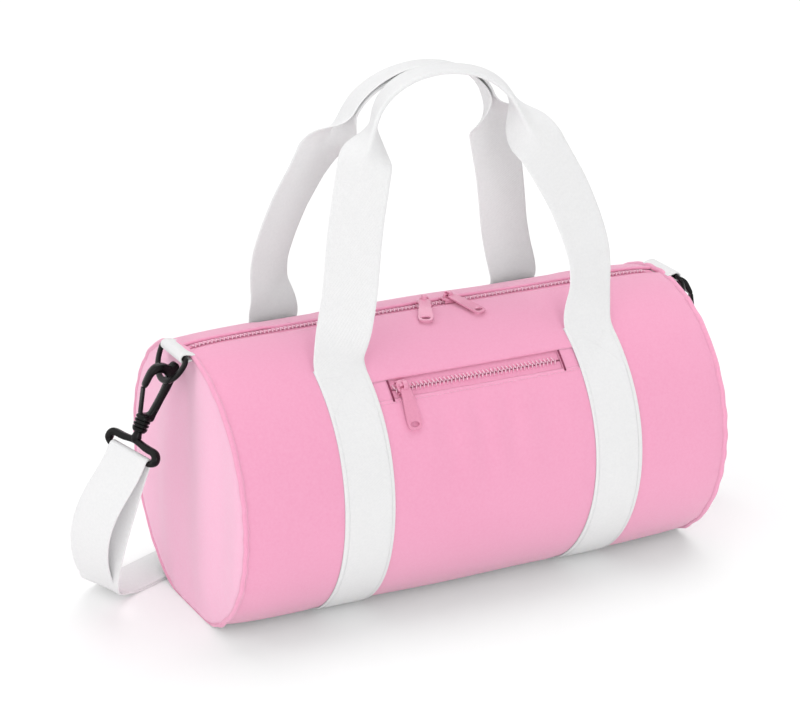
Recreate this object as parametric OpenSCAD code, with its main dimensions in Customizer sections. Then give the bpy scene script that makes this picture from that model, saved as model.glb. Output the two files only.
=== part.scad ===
// Barrel bag: a stuffed cloth barrel carried by two webbing handles and a clip-on shoulder strap.
// The barrel lies along X, its pocket faces -Y, and the origin is on the floor under its middle.

/* [Barrel] */
// Length of the barrel between its end seams
bag_l = 400; // [340:5:460]
// Radius of the packed barrel
bag_r = 109.5; // [100:0.5:120]
// How far the bottom is pressed flat by the bag's own weight
sag = 9.8; // [6:0.2:14]
// Thickness of the cloth with its backing
cloth_t = 1.6; // [1.2:0.1:2.4]
// Width of the binding tape over the raw edges inside each end seam
binding_w = 12; // [8:1:16]

/* [Webbing] */
// Width of the webbing of bands, handles, tabs and shoulder strap
web_w = 40; // [34:1:44]
// Thickness of the webbing
web_t = 1.6; // [1.2:0.1:2]
// Distance between the middles of the two bands round the barrel
band_gap = 206; // [190:1:230]
// Where the handles leave the bag, in degrees round the barrel from its front
handle_ang = 59; // [54:1:64]

/* [Handles] */
// Length of a handle from its stitch line to the top of its grip
handle_h = 200; // [180:1:230]
// Thickness of the grip, where the webbing is folded in half lengthwise
grip_t = 3.6; // [3.2:0.1:5]
// How far each handle leans sideways, the front one to +X and the back one to -X
handle_skew = 12; // [0:1:16]

/* [Main zip] */
// Width of the opening between the barrel's two top edges
zip_gap = 12; // [11:0.5:14]
// Width of each zip tape
tape_w = 14; // [12:1:18]
// Thickness of the zip tapes
tape_t = 0.8; // [0.5:0.1:1.2]
// Distance from tooth to tooth on one side
tooth_pitch = 3.2; // [2.8:0.1:4]
// Height of the teeth over the tape
tooth_h = 2.3; // [1.6:0.1:2.6]
// Places of the left and right sliders when the zip is closed
slider_left_x = -5; // [-20:1:0]
slider_right_x = 15; // [12:1:40]
// How far each pull lies askew on the closed zip, in degrees
pull_yaw = 24; // [0:1:26]

/* [Sliders and pulls] */
// Length of a slider along its zip
slider_l = 10; // [9:0.5:12]
// Width of a slider across its zip
slider_w = 10.6; // [10.2:0.1:10.8]
// Thickness of a slider's top plate
slider_t = 1.8; // [1.4:0.1:2.4]
// Length of a pull from its bar to its tip
pull_l = 34; // [26:1:40]
// Width of a pull
pull_w = 9; // [7:0.5:11]
// Thickness of a pull
pull_t = 1.2; // [0.8:0.1:1.6]

/* [Front pocket] */
// Length of the pocket's zip
pocket_zip_l = 134; // [110:1:140]
// Place of the pocket zip's middle round the barrel, in degrees from the front
pocket_ang = 45.6; // [42:0.2:47]
// Height of the window in the cloth that the pocket zip is sewn behind
pocket_gap = 15.2; // [14:0.2:17]
// Place of the pocket's slider when its zip is closed
pocket_slider_x = -61; // [-61:1:-50]
// Room inside the pocket, front to back
pocket_depth = 10; // [8:1:14]
// Lowest reach of the pocket's lining round the barrel, in degrees from the front
pocket_low_ang = -30; // [-40:1:-20]

/* [End fittings] */
// Distance of the ring's bar out from the end seam
ring_out = 6; // [5:0.5:8]
// Depth of the ring's bar below the top of the barrel
ring_drop = 4.7; // [3:0.1:8]
// Thickness of the ring's wire
ring_d = 4.6; // [4:0.2:5]
// Lean of the hanging ring out from the vertical
ring_lean = 28; // [20:1:34]
// Length of the hook from its crook to the end of its collar
hook_l = 60; // [56:1:64]
// Thickness of the hook's moulding
hook_t = 6.4; // [5:0.2:8]
// Radius of the ribbed collar that turns on the strap's frame
collar_r = 6.3; // [5.8:0.1:7]
// Lean of the hook out from the vertical
hook_lean = 23.8; // [18:0.2:28]
// Turn of the strap's frame round the hook's collar
frame_turn = 25; // [0:1:30]
// Thickness of the bars of the strap's frame
frame_bar = 4.4; // [3.6:0.2:5]
// Height of the slot in the strap's frame
frame_slot = 9; // [8:0.5:12]

/* [Shoulder strap] */
// Width of the shoulder strap
strap_w = 38; // [30:1:40]
// Distance from the end seam to where the strap comes down on the floor
land_out = 32; // [28:1:44]
// Distance behind the bag's middle line to where the strap comes down
land_back = 59; // [52:1:70]
// Distance behind the bag's middle line of the strap's straight run on the floor
run_back = 114; // [104:1:140]
// How stiffly the strap leaves the frame, as the reach of its curve
drop_reach = 66; // [56:1:76]
// Direction in which the strap leaves the frame, out from the vertical
drop_lean = 43; // [38:1:50]
// The same two sizes of its inner layer, which comes back from the frame to the adjuster
inner_reach = 60; // [50:1:70]
inner_lean = 37; // [30:1:44]
// Direction in which the strap runs behind the bag, in degrees from X
land_turn = 24; // [18:1:30]
// Place of the adjuster on the strap's straight run
adjuster_x = -30; // [-60:1:20]
// Length of the adjuster along the strap
adjuster_l = 30; // [26:1:36]

/* [Hidden] */
// Clearance between bodies that move past each other
run_gap = 0.3;
// Clearance of a pin in its bore, and between sewn layers
fit_gap = 0.05;
seam_gap = 0.1;
// How far every cut runs past the solid that it cuts
over = 1;
// Steps of the smooth outlines and of the strap's curves
arc_steps = 24;
strap_steps = 16;

axis_h = bag_r - sag;
inner_r = bag_r - cloth_t;
wall_l = bag_l - 2 * cloth_t;
band_r = bag_r + web_t;
half_gap = band_gap / 2;
grip_w = web_w / 2;
hinge_r = band_r + run_gap + web_t / 2;
hinge_y = -hinge_r * cos(handle_ang);
hinge_z = axis_h + hinge_r * sin(handle_ang);
// The handles lean on each other: each grip's inner side stops half a running gap from the middle
grip_reach = grip_w - web_t / 2;
handle_lean = asin((-hinge_y - run_gap / 2) / norm([handle_h, grip_reach]))
    - atan2(grip_reach, handle_h);
// The handle's leg: height, place and width at each step up, as shares of the sizes they follow
leg_h_share = [0, 0.12, 0.25, 0.36, 0.49, 0.64, 0.745, 0.79, 0.83];
leg_x_share = [1, 0.99, 0.965, 0.92, 0.85, 0.735, 0.65, 0.61, 0.585];
leg_w_share = [1, 1, 1, 1, 1, 1, 0.92, 0.62, 0.2];
leg_skew_share = [0, 0.55, 0.9, 0.85, 0.7, 0.4, 0.15, 0.1, 0.1];
grip_x_share = 0.585;
grip_base_share = 0.78;
grip_skew_share = 0.1;

// Zip chains lie in a flat frame of their own: X along the zip, Z out of the cloth, Z = 0 on the tape
tooth_share = 0.36;
tooth_start_shares = [0.75, 0.25];
tooth_reach = 1.2;
tooth_back = 2.6;
tooth_spine = 0.9;
flange_t = 1.1;
bridge_r = 1.1;
bridge_span = 7.4;
bridge_rise = 2.6;
post_t = 1.3;
post_w = 2.4;
eye_r = 1.6;
eye_wall = 1;
eye_l = 1.2;
neck_w = 3.2;
neck_l = 4;
pull_hole_w = 4.4;
pull_hole_l = 9;
plate_z = tooth_h + run_gap;
bridge_z = plate_z + slider_t + bridge_rise;
main_zip_l = bag_l - 2 * cloth_t - 2 * seam_gap;
main_tape_z = axis_h + sqrt(pow(inner_r, 2) - pow(tape_w, 2)) - seam_gap;
teeth_end = 4;
main_teeth_l = main_zip_l - 2 * teeth_end;
tape_sewn = 6;
window_sewn = 3;
pocket_tape_w = pocket_gap / 2 + tape_sewn;
pocket_tape_r = sqrt(pow(inner_r, 2) - pow(pocket_tape_w, 2)) - seam_gap;
pocket_l = band_gap - web_w;
pocket_window_l = pocket_l + 2 * window_sewn;
lining_t = 1;
pocket_top_ang = 56;
pocket_tab_t = 1.2;
// Rest of the pulls: how far they hang below the chain's flat frame
main_pull_dip = 11.8;
pocket_pull_dip = 12.5;

bar_x = bag_l / 2 + ring_out;
bar_z = axis_h + bag_r - ring_drop;
ring_r = ring_d / 2;
ring_half = web_w / 2 + run_gap + ring_r;
tab_r = ring_r + seam_gap + web_t;
tab_w = web_w - 2;
// Hook, in a flat frame of its own: X towards the nose, Y down the hook, origin on the collar's axis
crook_x_share = -0.018;
crook_y_share = 0.15;
crook_r_share = 0.15;
crook_bar_share = 0.09;
spine_in_share = [[-0.101, 0.3], [-0.094, 0.45], [-0.072, 0.6], [-0.05, 0.76]];
spine_out_share = [[-0.125, 0.78], [-0.14, 0.66], [-0.17, 0.5], [-0.195, 0.38], [-0.2, 0.28]];
nose_in_share = [[0.048, 0.2], [0.075, 0.31], [0.11, 0.405]];
nose_out_share = [[0.138, 0.44], [0.168, 0.42], [0.165, 0.35], [0.145, 0.24]];
collar_top_share = 0.79;
gate_top_share = [0.148, 0.455];
gate_root_share = [0.066, 0.765];
gate_t = 1.8;
gate_w = 4.6;
gate_pin_r = 1;
collar_rib = 0.5;
collar_ribs = 4;
stud_r = 2.5;
stud_share = 0.13;
rib_start_share = 0.2;
rib_l_share = 0.6;
// Room between the hook's crook and the tab that the ring hangs in
hook_room = 0.6;
hook_wire = [hook_l * spine_in_share[0][0] + 2 * run_gap + ring_r, ring_half - tab_r - hook_room];
frame_neck = 1.6;
frame_side = 3.8;
loop_r = frame_bar / 2 + seam_gap;
loop_tail = 14;

// The places of ring, hook and frame on the left end, from the bar outwards
down_hook = [-sin(hook_lean), 0, -cos(hook_lean)];
side_hook = [-cos(hook_lean), 0, sin(hook_lean)];
wire_p = [-bar_x, 0, bar_z] + ring_half * [-sin(ring_lean), 0, -cos(ring_lean)];
hook_p = wire_p - hook_wire[0] * side_hook - hook_wire[1] * down_hook;
collar_end_p = hook_p + hook_l * down_hook;
frame_wide = cos(frame_turn) * [0, 1, 0] + sin(frame_turn) * side_hook;
frame_thick = cos(frame_turn) * side_hook - sin(frame_turn) * [0, 1, 0];
frame_bar_y = run_gap + frame_neck + frame_bar + frame_slot + frame_bar / 2;
frame_p = collar_end_p + frame_bar_y * down_hook;
loop_mid = loop_r + web_t / 2;

// The strap: where it comes down, which way it runs there, and the way its width lies
land_p = [-bag_l / 2 - land_out, land_back, web_t / 2 + seam_gap];
land_dir = [cos(land_turn), sin(land_turn), 0];
land_wide = [-sin(land_turn), cos(land_turn), 0];
lay_z = web_t + 2 * seam_gap;
straight_share = 0.8;
adjuster_bar = 2.4;

pink = "#f2abc9";
deep_pink = "#e58fb4";
white = "#f4f4f4";
black = "#161316";

// Points of a circle's arc in the plane
function arc(c, r, from, to, steps = arc_steps) =
    [for (i = [0:steps]) let (a = from + (to - from) * i / steps) c + r * [cos(a), sin(a)]];

function bezier(p, u) =
    pow(1 - u, 3) * p[0] + 3 * pow(1 - u, 2) * u * p[1] + 3 * (1 - u) * pow(u, 2) * p[2]
    + pow(u, 3) * p[3];

function unit(v) = v / norm(v);

// A flat strip swept along centre points, with a width direction at each; lead and tail are the
// directions that its start and its end are squared off to
module ribbon(path, wide, w, t, lead = [], tail = []) {
    last = len(path) - 1;
    along = [for (i = [0:last]) i == 0 && lead ? lead : i == last && tail ? tail
        : unit(path[min(i + 1, last)] - path[max(i - 1, 0)])];
    side = [for (i = [0:last]) unit(wide[i] - (wide[i] * along[i]) * along[i])];
    face = [for (i = [0:last]) cross(along[i], side[i])];
    corners = [for (i = [0:last]) for (k = [[1, 1], [-1, 1], [-1, -1], [1, -1]])
        path[i] + k[0] * w / 2 * side[i] + k[1] * t / 2 * face[i]];
    sides = [for (i = [0:last - 1]) for (k = [0:3]) let (a = 4 * i + k, b = 4 * i + (k + 1) % 4)
        each [[a, b, a + 4], [b, b + 4, a + 4]]];
    caps = [[0, 3, 2], [0, 2, 1], [4 * last, 4 * last + 1, 4 * last + 2],
        [4 * last, 4 * last + 2, 4 * last + 3]];
    polyhedron(corners, concat(sides, caps), convexity = 6);
}

// The barrel's round section, cut flat at a height above the floor
module barrel_solid(r, l, flat_z) {
    difference() {
        translate([-l / 2, 0, axis_h]) rotate([0, 90, 0]) cylinder(r = r, h = l);
        translate([-l / 2 - over, -r - over, flat_z - 2 * r])
            cube([l + 2 * over, 2 * r + 2 * over, 2 * r]);
    }
}

// Turns a flat frame at the top of the barrel to a place round it
module round_barrel(ang, r) {
    translate([0, 0, axis_h]) rotate([90 - ang, 0, 0]) translate([0, 0, r]) children();
}

// A wedge of the barrel between two places round it
module barrel_wedge(l, from, to, r) {
    translate([-l / 2, 0, axis_h]) rotate([90, 0, 90])
        linear_extrude(l) polygon(concat([[0, 0]], arc([0, 0], r, 180 - to, 180 - from, 6)));
}

module barrel_panel() {
    color(pink) difference() {
        barrel_solid(bag_r, wall_l, 0);
        barrel_solid(inner_r, wall_l + 2 * over, web_t + cloth_t);
        for (s = [-1, 1]) translate([s * half_gap - web_w / 2, -bag_r, -over])
            cube([web_w, 2 * bag_r, web_t + over]);
        translate([-bag_l, -zip_gap / 2, axis_h]) cube([2 * bag_l, zip_gap, 2 * bag_r]);
        round_barrel(pocket_ang, bag_r)
            translate([-pocket_window_l / 2, -pocket_gap / 2, -2 * cloth_t - sag / 2])
                cube([pocket_window_l, pocket_gap, 4 * cloth_t + sag]);
    }
}

module end_panel() {
    color(pink) translate([bag_l / 2 - cloth_t / 2, 0, 0]) barrel_solid(bag_r, cloth_t, 0);
}

module seam_binding() {
    color(deep_pink) translate([wall_l / 2 - binding_w / 2, 0, 0]) difference() {
        barrel_solid(inner_r - seam_gap, binding_w, web_t + cloth_t + seam_gap);
        barrel_solid(inner_r - seam_gap - cloth_t, binding_w + 2 * over,
            web_t + 2 * cloth_t + seam_gap);
        translate([-bag_l, -tape_w - run_gap, axis_h])
            cube([2 * bag_l, 2 * tape_w + 2 * run_gap, 2 * bag_r]);
    }
}

module pocket_lining() {
    rim = lining_t / inner_r * 180 / PI;
    color(pink) difference() {
        intersection() {
            translate([-pocket_l / 2, 0, axis_h]) rotate([0, 90, 0])
                cylinder(r = inner_r - seam_gap, h = pocket_l);
            barrel_wedge(pocket_l, pocket_low_ang, pocket_top_ang, 2 * bag_r);
        }
        translate([-pocket_l / 2 - over, 0, axis_h]) rotate([0, 90, 0])
            cylinder(r = inner_r - pocket_depth - lining_t, h = pocket_l + 2 * over);
        difference() {
            intersection() {
                translate([-pocket_l / 2 + lining_t, 0, axis_h]) rotate([0, 90, 0])
                    cylinder(r = bag_r, h = pocket_l - 2 * lining_t);
                barrel_wedge(pocket_l, pocket_low_ang + rim, pocket_top_ang - rim, 2 * bag_r);
            }
            translate([-pocket_l / 2, 0, axis_h]) rotate([0, 90, 0])
                cylinder(r = inner_r - pocket_depth, h = pocket_l);
        }
    }
}

module zip_tape(l, w, side) {
    color(pink) translate([-l / 2, side > 0 ? tooth_reach / 2 : -w, -tape_t])
        cube([l, w - tooth_reach / 2, tape_t]);
}

// One side's teeth on their spine, as a comb that meshes with the other side's
module zip_teeth(l, side) {
    count = floor((l - tooth_pitch) / tooth_pitch);
    start = -l / 2 + tooth_pitch * tooth_start_shares[side > 0 ? 1 : 0];
    tooth_w = tooth_pitch * tooth_share;
    comb = [for (i = [0:count - 1]) let (x = start + i * tooth_pitch)
        each [[x, tooth_back], [x, -tooth_reach], [x + tooth_w, -tooth_reach],
            [x + tooth_w, tooth_back]]];
    back = tooth_back + tooth_spine;
    color(white) mirror([0, side > 0 ? 0 : 1, 0]) linear_extrude(tooth_h)
        polygon(concat(comb, [[l / 2, tooth_back], [l / 2, back], [-l / 2, back],
            [-l / 2, tooth_back]]));
}

module zip_slider() {
    color(deep_pink) {
        translate([-slider_l / 2, -slider_w / 2, plate_z]) cube([slider_l, slider_w, slider_t]);
        for (s = [-1, 1]) {
            translate([-slider_l / 2, s > 0 ? slider_w / 2 - flange_t : -slider_w / 2, run_gap])
                cube([slider_l, flange_t, plate_z + slider_t - run_gap]);
            translate([s > 0 ? bridge_span / 2 - post_t : -bridge_span / 2, -post_w / 2, plate_z])
                cube([post_t, post_w, bridge_z + bridge_r - plate_z]);
        }
        translate([-bridge_span / 2 + post_t / 2, 0, bridge_z]) rotate([0, 90, 0])
            cylinder(r = bridge_r, h = bridge_span - post_t);
    }
}

// A pull that reaches to -Y from the slider's bar, turned askew and then dipped below the level
module zip_pull(yaw, dip) {
    eye_out = eye_r + eye_wall;
    color(deep_pink) translate([0, 0, bridge_z]) rotate([0, 0, yaw]) rotate([dip, 0, 0])
        difference() {
            union() {
                translate([-eye_l / 2, 0, 0]) rotate([0, 90, 0]) cylinder(r = eye_out, h = eye_l);
                translate([-eye_l / 2, -eye_out - neck_l / 2, -pull_t / 2])
                    cube([eye_l, eye_out + neck_l / 2, pull_t]);
                translate([-neck_w / 2, -eye_out - neck_l, -pull_t / 2])
                    cube([neck_w, neck_l, pull_t]);
                translate([-pull_w / 2, -pull_l, -pull_t / 2])
                    cube([pull_w, pull_l - eye_out - neck_l / 2, pull_t]);
            }
            translate([-pull_w, 0, 0]) rotate([0, 90, 0]) cylinder(r = eye_r, h = 2 * pull_w);
            for (e = [0, 1])
                translate([0, -pull_l + pull_hole_w + e * (pull_hole_l - pull_hole_w), -pull_t])
                    cylinder(r = pull_hole_w / 2, h = 2 * pull_t);
            translate([-pull_hole_w / 2, -pull_l + pull_hole_w, -pull_t])
                cube([pull_hole_w, pull_hole_l - pull_hole_w, 2 * pull_t]);
        }
}

module main_zip() { translate([0, 0, main_tape_z]) children(); }

module pocket_zip() { round_barrel(pocket_ang, pocket_tape_r) children(); }

// The cloth tab between an end of the pocket's zip and the band
module pocket_zip_tab() {
    tab_l = (pocket_window_l - pocket_zip_l) / 2 - 2 * seam_gap;
    color(pink) pocket_zip()
        translate([pocket_zip_l / 2 + seam_gap, seam_gap - pocket_gap / 2, inner_r - pocket_tape_r])
            cube([tab_l, pocket_gap - 2 * seam_gap, pocket_tab_t]);
}

// Webbing round the barrel from one stitch line, under the bottom, to the other
module band() {
    top_z = hinge_z + web_t;
    color(white) difference() {
        barrel_solid(band_r, web_w, 0);
        barrel_solid(bag_r, web_w + 2 * over, web_t);
        translate([-web_w, -2 * bag_r, top_z]) cube([2 * web_w, 4 * bag_r, 2 * bag_r]);
    }
}

// One leg's outline in the handle's own plane, X along the bag and Y up the handle
function leg_points(side) = let (last = len(leg_h_share) - 1,
    mid = [for (i = [0:last]) [side * half_gap * leg_x_share[i]
        + handle_skew * leg_skew_share[i], handle_h * leg_h_share[i]]],
    half = [for (i = [0:last]) [web_w / 2 * leg_w_share[i], 0]])
    concat([for (i = [0:last]) mid[i] + half[i]], [for (i = [last:-1:0]) mid[i] - half[i]]);

// The grip's arch: a half ellipse of doubled webbing on two short straight ends
function arch_points(t) = let (c = handle_skew * grip_skew_share, rx = half_gap * grip_x_share + t,
    base = handle_h * grip_base_share, ry = handle_h - grip_t / 2 - base + t)
    [for (i = [0:arc_steps]) let (a = 180 * i / arc_steps) [c + rx * cos(a), base + ry * sin(a)]];

module handle() {
    outer = arch_points(grip_t / 2);
    inner = arch_points(-grip_t / 2);
    color(white) translate([0, hinge_y, hinge_z]) rotate([90 - handle_lean, 0, 0]) {
        for (side = [-1, 1]) {
            translate([0, 0, -web_t / 2]) linear_extrude(web_t) polygon(leg_points(side));
            translate([side * half_gap - web_w / 2, 0, 0]) rotate([0, 90, 0])
                cylinder(r = web_t / 2, h = web_w);
        }
        translate([0, 0, -grip_reach]) linear_extrude(grip_w)
            polygon(concat(outer, [for (i = [arc_steps:-1:0]) inner[i]]));
    }
}

// The end fittings are drawn at the left end
module ring_tab() {
    color(white) translate([-bar_x, 0, bar_z]) difference() {
        union() {
            rotate([90, 0, 0]) cylinder(r = tab_r, h = tab_w, center = true);
            translate([0, -tab_w / 2, tab_r - 2 * web_t]) cube([ring_out, tab_w, 2 * web_t]);
        }
        rotate([90, 0, 0]) cylinder(r = ring_r + fit_gap, h = tab_w + 2 * over, center = true);
    }
}

module d_ring() {
    color(black) translate([-bar_x, 0, bar_z]) rotate([0, ring_lean, 0]) {
        rotate([90, 0, 0]) cylinder(r = ring_r, h = 2 * ring_half, center = true);
        for (s = [-1, 1]) translate([0, s * ring_half, 0]) sphere(r = ring_r);
        rotate([0, 90, 0]) rotate([0, 0, -90]) rotate_extrude(angle = 180)
            translate([ring_half, 0]) circle(r = ring_r);
    }
}

// The hook's flat frame: X towards the nose, Y down the hook, Z across its thickness
module hook_frame() {
    translate(hook_p) multmatrix([
        [side_hook[0], down_hook[0], 0, 0],
        [0, 0, 1, 0],
        [side_hook[2], down_hook[2], 0, 0],
        [0, 0, 0, 1]]) children();
}

module hook_body() {
    c = hook_l * [crook_x_share, crook_y_share];
    r = hook_l * crook_r_share;
    outline = concat(
        [for (i = [len(spine_in_share) - 1:-1:0]) hook_l * spine_in_share[i]],
        arc(c, r - hook_l * crook_bar_share, 180, 360),
        hook_l * nose_in_share, hook_l * nose_out_share,
        arc(c, r, 360, 180),
        [for (i = [len(spine_out_share) - 1:-1:0]) hook_l * spine_out_share[i]]);
    top = hook_l * collar_top_share;
    rib = (hook_l - top) / collar_ribs;
    color(black) hook_frame() difference() {
        union() {
            translate([0, 0, -hook_t / 2]) linear_extrude(hook_t)
                polygon(concat(outline, [[-collar_r + collar_rib, top + over],
                    [hook_l * gate_root_share[0] - gate_t - gate_pin_r - run_gap, top + over]]));
            translate([0, top, 0]) rotate([-90, 0, 0])
                cylinder(r = collar_r - collar_rib, h = hook_l - top);
            for (i = [0:collar_ribs - 1])
                translate([0, top + rib * (i + rib_start_share), 0])
                    rotate([-90, 0, 0]) cylinder(r = collar_r, h = rib * rib_l_share);
        }
        translate([0, hook_l - hook_l * stud_share - run_gap, 0]) rotate([-90, 0, 0])
            cylinder(r = stud_r + fit_gap, h = hook_l * stud_share + over);
    }
}

module hook_gate() {
    root = hook_l * gate_root_share;
    tip = hook_l * gate_top_share;
    reach = norm(tip - root);
    turn = atan2(tip[1] - root[1], tip[0] - root[0]);
    color(black) hook_frame() translate([root[0], root[1], -gate_w / 2]) {
        cylinder(r = gate_pin_r, h = gate_w);
        rotate([0, 0, turn]) translate([0, -gate_t / 2, 0]) cube([reach, gate_t, gate_w]);
    }
}

// The strap frame's own axes: X across the strap, Y down the hook, Z through the slot
module frame_axes(p) {
    translate(p) multmatrix([
        [frame_wide[0], down_hook[0], frame_thick[0], 0],
        [frame_wide[1], down_hook[1], frame_thick[1], 0],
        [frame_wide[2], down_hook[2], frame_thick[2], 0],
        [0, 0, 0, 1]]) children();
}

module strap_frame() {
    half = strap_w / 2 + 2 * run_gap;
    top = run_gap + frame_neck;
    color(black) frame_axes(collar_end_p) {
        translate([0, -hook_l * stud_share, 0]) rotate([-90, 0, 0])
            cylinder(r = stud_r, h = hook_l * stud_share + top + frame_bar / 2);
        translate([0, run_gap, 0]) rotate([-90, 0, 0])
            cylinder(r = collar_r, h = frame_neck + frame_bar / 2);
        translate([-half - frame_side, top, -frame_bar / 2])
            cube([2 * half + 2 * frame_side, frame_bar, frame_bar]);
        for (s = [-1, 1]) translate([s > 0 ? half : -half - frame_side, top, -frame_bar / 2])
            cube([frame_side, 2 * frame_bar + frame_slot, frame_bar]);
        translate([-half - over, frame_bar_y, 0]) rotate([0, 90, 0])
            cylinder(r = frame_bar / 2, h = 2 * half + 2 * over);
    }
}

// The strap's turn round the frame's lower bar, with its two tails
module strap_loop() {
    outer = loop_r + web_t;
    color(white) frame_axes(frame_p) difference() {
        union() {
            translate([-strap_w / 2, 0, 0]) rotate([0, 90, 0]) cylinder(r = outer, h = strap_w);
            for (s = [-1, 1])
                translate([-strap_w / 2, 0, s > 0 ? loop_r : -outer])
                    cube([strap_w, loop_tail, web_t]);
        }
        translate([-strap_w, 0, 0]) rotate([0, 90, 0]) cylinder(r = loop_r, h = 2 * strap_w);
        translate([-strap_w, 0, -loop_r]) cube([2 * strap_w, loop_tail + over, 2 * loop_r]);
    }
}

// A hanging stretch of strap from a tail of the loop to the floor; layer 0 is the outer one
module strap_drop(layer, lean, reach, floor_reach) {
    s = layer == 0 ? 1 : -1;
    top = frame_p + (loop_tail + run_gap) * down_hook + s * loop_mid * frame_thick;
    land = land_p + [0, 0, layer * lay_z];
    leave = [-sin(lean), 0, -cos(lean)];
    curve = [top, top + reach * leave, land - floor_reach * land_dir, land];
    path = [for (i = [0:strap_steps]) bezier(curve, i / strap_steps)];
    wide = [for (i = [0:strap_steps]) let (u = i / strap_steps)
        (1 - u) * frame_wide + u * land_wide];
    color(white) ribbon(path, wide, strap_w, web_t, down_hook, land_dir);
}

// The strap on the floor, from the left landing round behind the bag to the right one
function floor_path(from, to) = let (
    a = land_p + run_gap * land_dir,
    straight = half_gap * straight_share,
    mid = [-straight, run_back, web_t / 2],
    reach = norm(mid - a) / 3,
    bend = [for (i = [0:strap_steps])
        bezier([a, a + reach * land_dir, mid - reach * [1, 0, 0], mid], i / strap_steps)],
    whole = concat(bend, [for (i = [strap_steps:-1:0]) [-bend[i][0], bend[i][1], bend[i][2]]]))
    [for (p = whole) if (p[0] >= from && p[0] <= to) p];

module strap_floor_run() {
    path = floor_path(-bag_l, bag_l);
    color(white) ribbon(path, [for (p = path) [0, 1, 0]], strap_w, web_t, land_dir,
        [land_dir[0], -land_dir[1], 0]);
}

module strap_return() {
    end_x = adjuster_x - run_gap;
    laid = [for (p = floor_path(-bag_l, end_x - adjuster_l)) p + [0, 0, lay_z]];
    last = [[end_x - loop_mid, run_back, web_t / 2 + lay_z]];
    path = concat(laid, last);
    color(white) ribbon(path, [for (p = path) [0, 1, 0]], strap_w, web_t, land_dir);
}

// A flat slider with three bars: the return layer ends at the middle one
module strap_adjuster() {
    half = strap_w / 2 + 2 * run_gap;
    bar = adjuster_bar;
    bars_z = 2 * lay_z + run_gap;
    color(black) translate([adjuster_x, run_back, 0]) {
        for (s = [-1, 1])
            translate([-adjuster_l / 2, s > 0 ? half : -half - bar, 0])
                cube([adjuster_l, bar, bars_z + bar]);
        for (e = [-1, 0, 1])
            translate([e * (adjuster_l - bar) / 2 - bar / 2, -half - over, bars_z])
                cube([bar, 2 * half + 2 * over, bar]);
    }
}

module at_right() { mirror([1, 0, 0]) children(); }

barrel_panel();
at_right() end_panel();  // left_end_panel
end_panel();  // right_end_panel
at_right() seam_binding();  // left_seam_binding
seam_binding();  // right_seam_binding
pocket_lining();
pocket_zip() zip_tape(pocket_zip_l, pocket_tape_w, 1);  // pocket_zip_tape_upper
pocket_zip() zip_tape(pocket_zip_l, pocket_tape_w, -1);  // pocket_zip_tape_lower
pocket_zip() zip_teeth(pocket_zip_l, 1);  // pocket_zip_teeth_upper
pocket_zip() zip_teeth(pocket_zip_l, -1);  // pocket_zip_teeth_lower
at_right() pocket_zip_tab();  // pocket_zip_tab_left
pocket_zip_tab();  // pocket_zip_tab_right
pocket_zip() translate([pocket_slider_x, 0, 0]) zip_slider();  // pocket_zip_slider
pocket_zip() translate([pocket_slider_x, 0, 0]) zip_pull(0, pocket_pull_dip);  // pocket_zip_pull
main_zip() zip_tape(main_zip_l, tape_w, -1);  // main_zip_tape_front
main_zip() zip_tape(main_zip_l, tape_w, 1);  // main_zip_tape_back
main_zip() zip_teeth(main_teeth_l, -1);  // main_zip_teeth_front
main_zip() zip_teeth(main_teeth_l, 1);  // main_zip_teeth_back
main_zip() translate([slider_left_x, 0, 0]) zip_slider();  // main_zip_slider_left
main_zip() translate([slider_left_x, 0, 0]) zip_pull(-pull_yaw, main_pull_dip);  // main_zip_pull_left
main_zip() translate([slider_right_x, 0, 0]) zip_slider();  // main_zip_slider_right
main_zip() translate([slider_right_x, 0, 0]) zip_pull(pull_yaw, main_pull_dip);  // main_zip_pull_right
translate([-half_gap, 0, 0]) band();  // left_band
translate([half_gap, 0, 0]) band();  // right_band
handle();  // front_handle
rotate([0, 0, 180]) handle();  // back_handle
ring_tab();  // left_ring_tab
d_ring();  // left_d_ring
hook_body();  // left_hook_body
hook_gate();  // left_hook_gate
strap_frame();  // left_strap_frame
strap_loop();  // left_strap_loop
strap_drop(0, drop_lean, drop_reach, land_out);  // left_strap_outer
strap_drop(1, inner_lean, inner_reach, land_out);  // left_strap_inner
at_right() ring_tab();  // right_ring_tab
at_right() d_ring();  // right_d_ring
at_right() hook_body();  // right_hook_body
at_right() hook_gate();  // right_hook_gate
at_right() strap_frame();  // right_strap_frame
at_right() strap_loop();  // right_strap_loop
at_right() strap_drop(0, drop_lean, drop_reach, land_out);  // right_strap_drop
strap_floor_run();
strap_return();
strap_adjuster();
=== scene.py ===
# %% [markdown]
# # A pink barrel bag with white webbing
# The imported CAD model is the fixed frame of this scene: it holds every solid of the bag in its
# real place. Each step below dresses one group of pieces with cloth, webbing, thread, zip or
# moulded plastic. The shapes are formulas worked out with numpy, so each can be read and changed.

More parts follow.
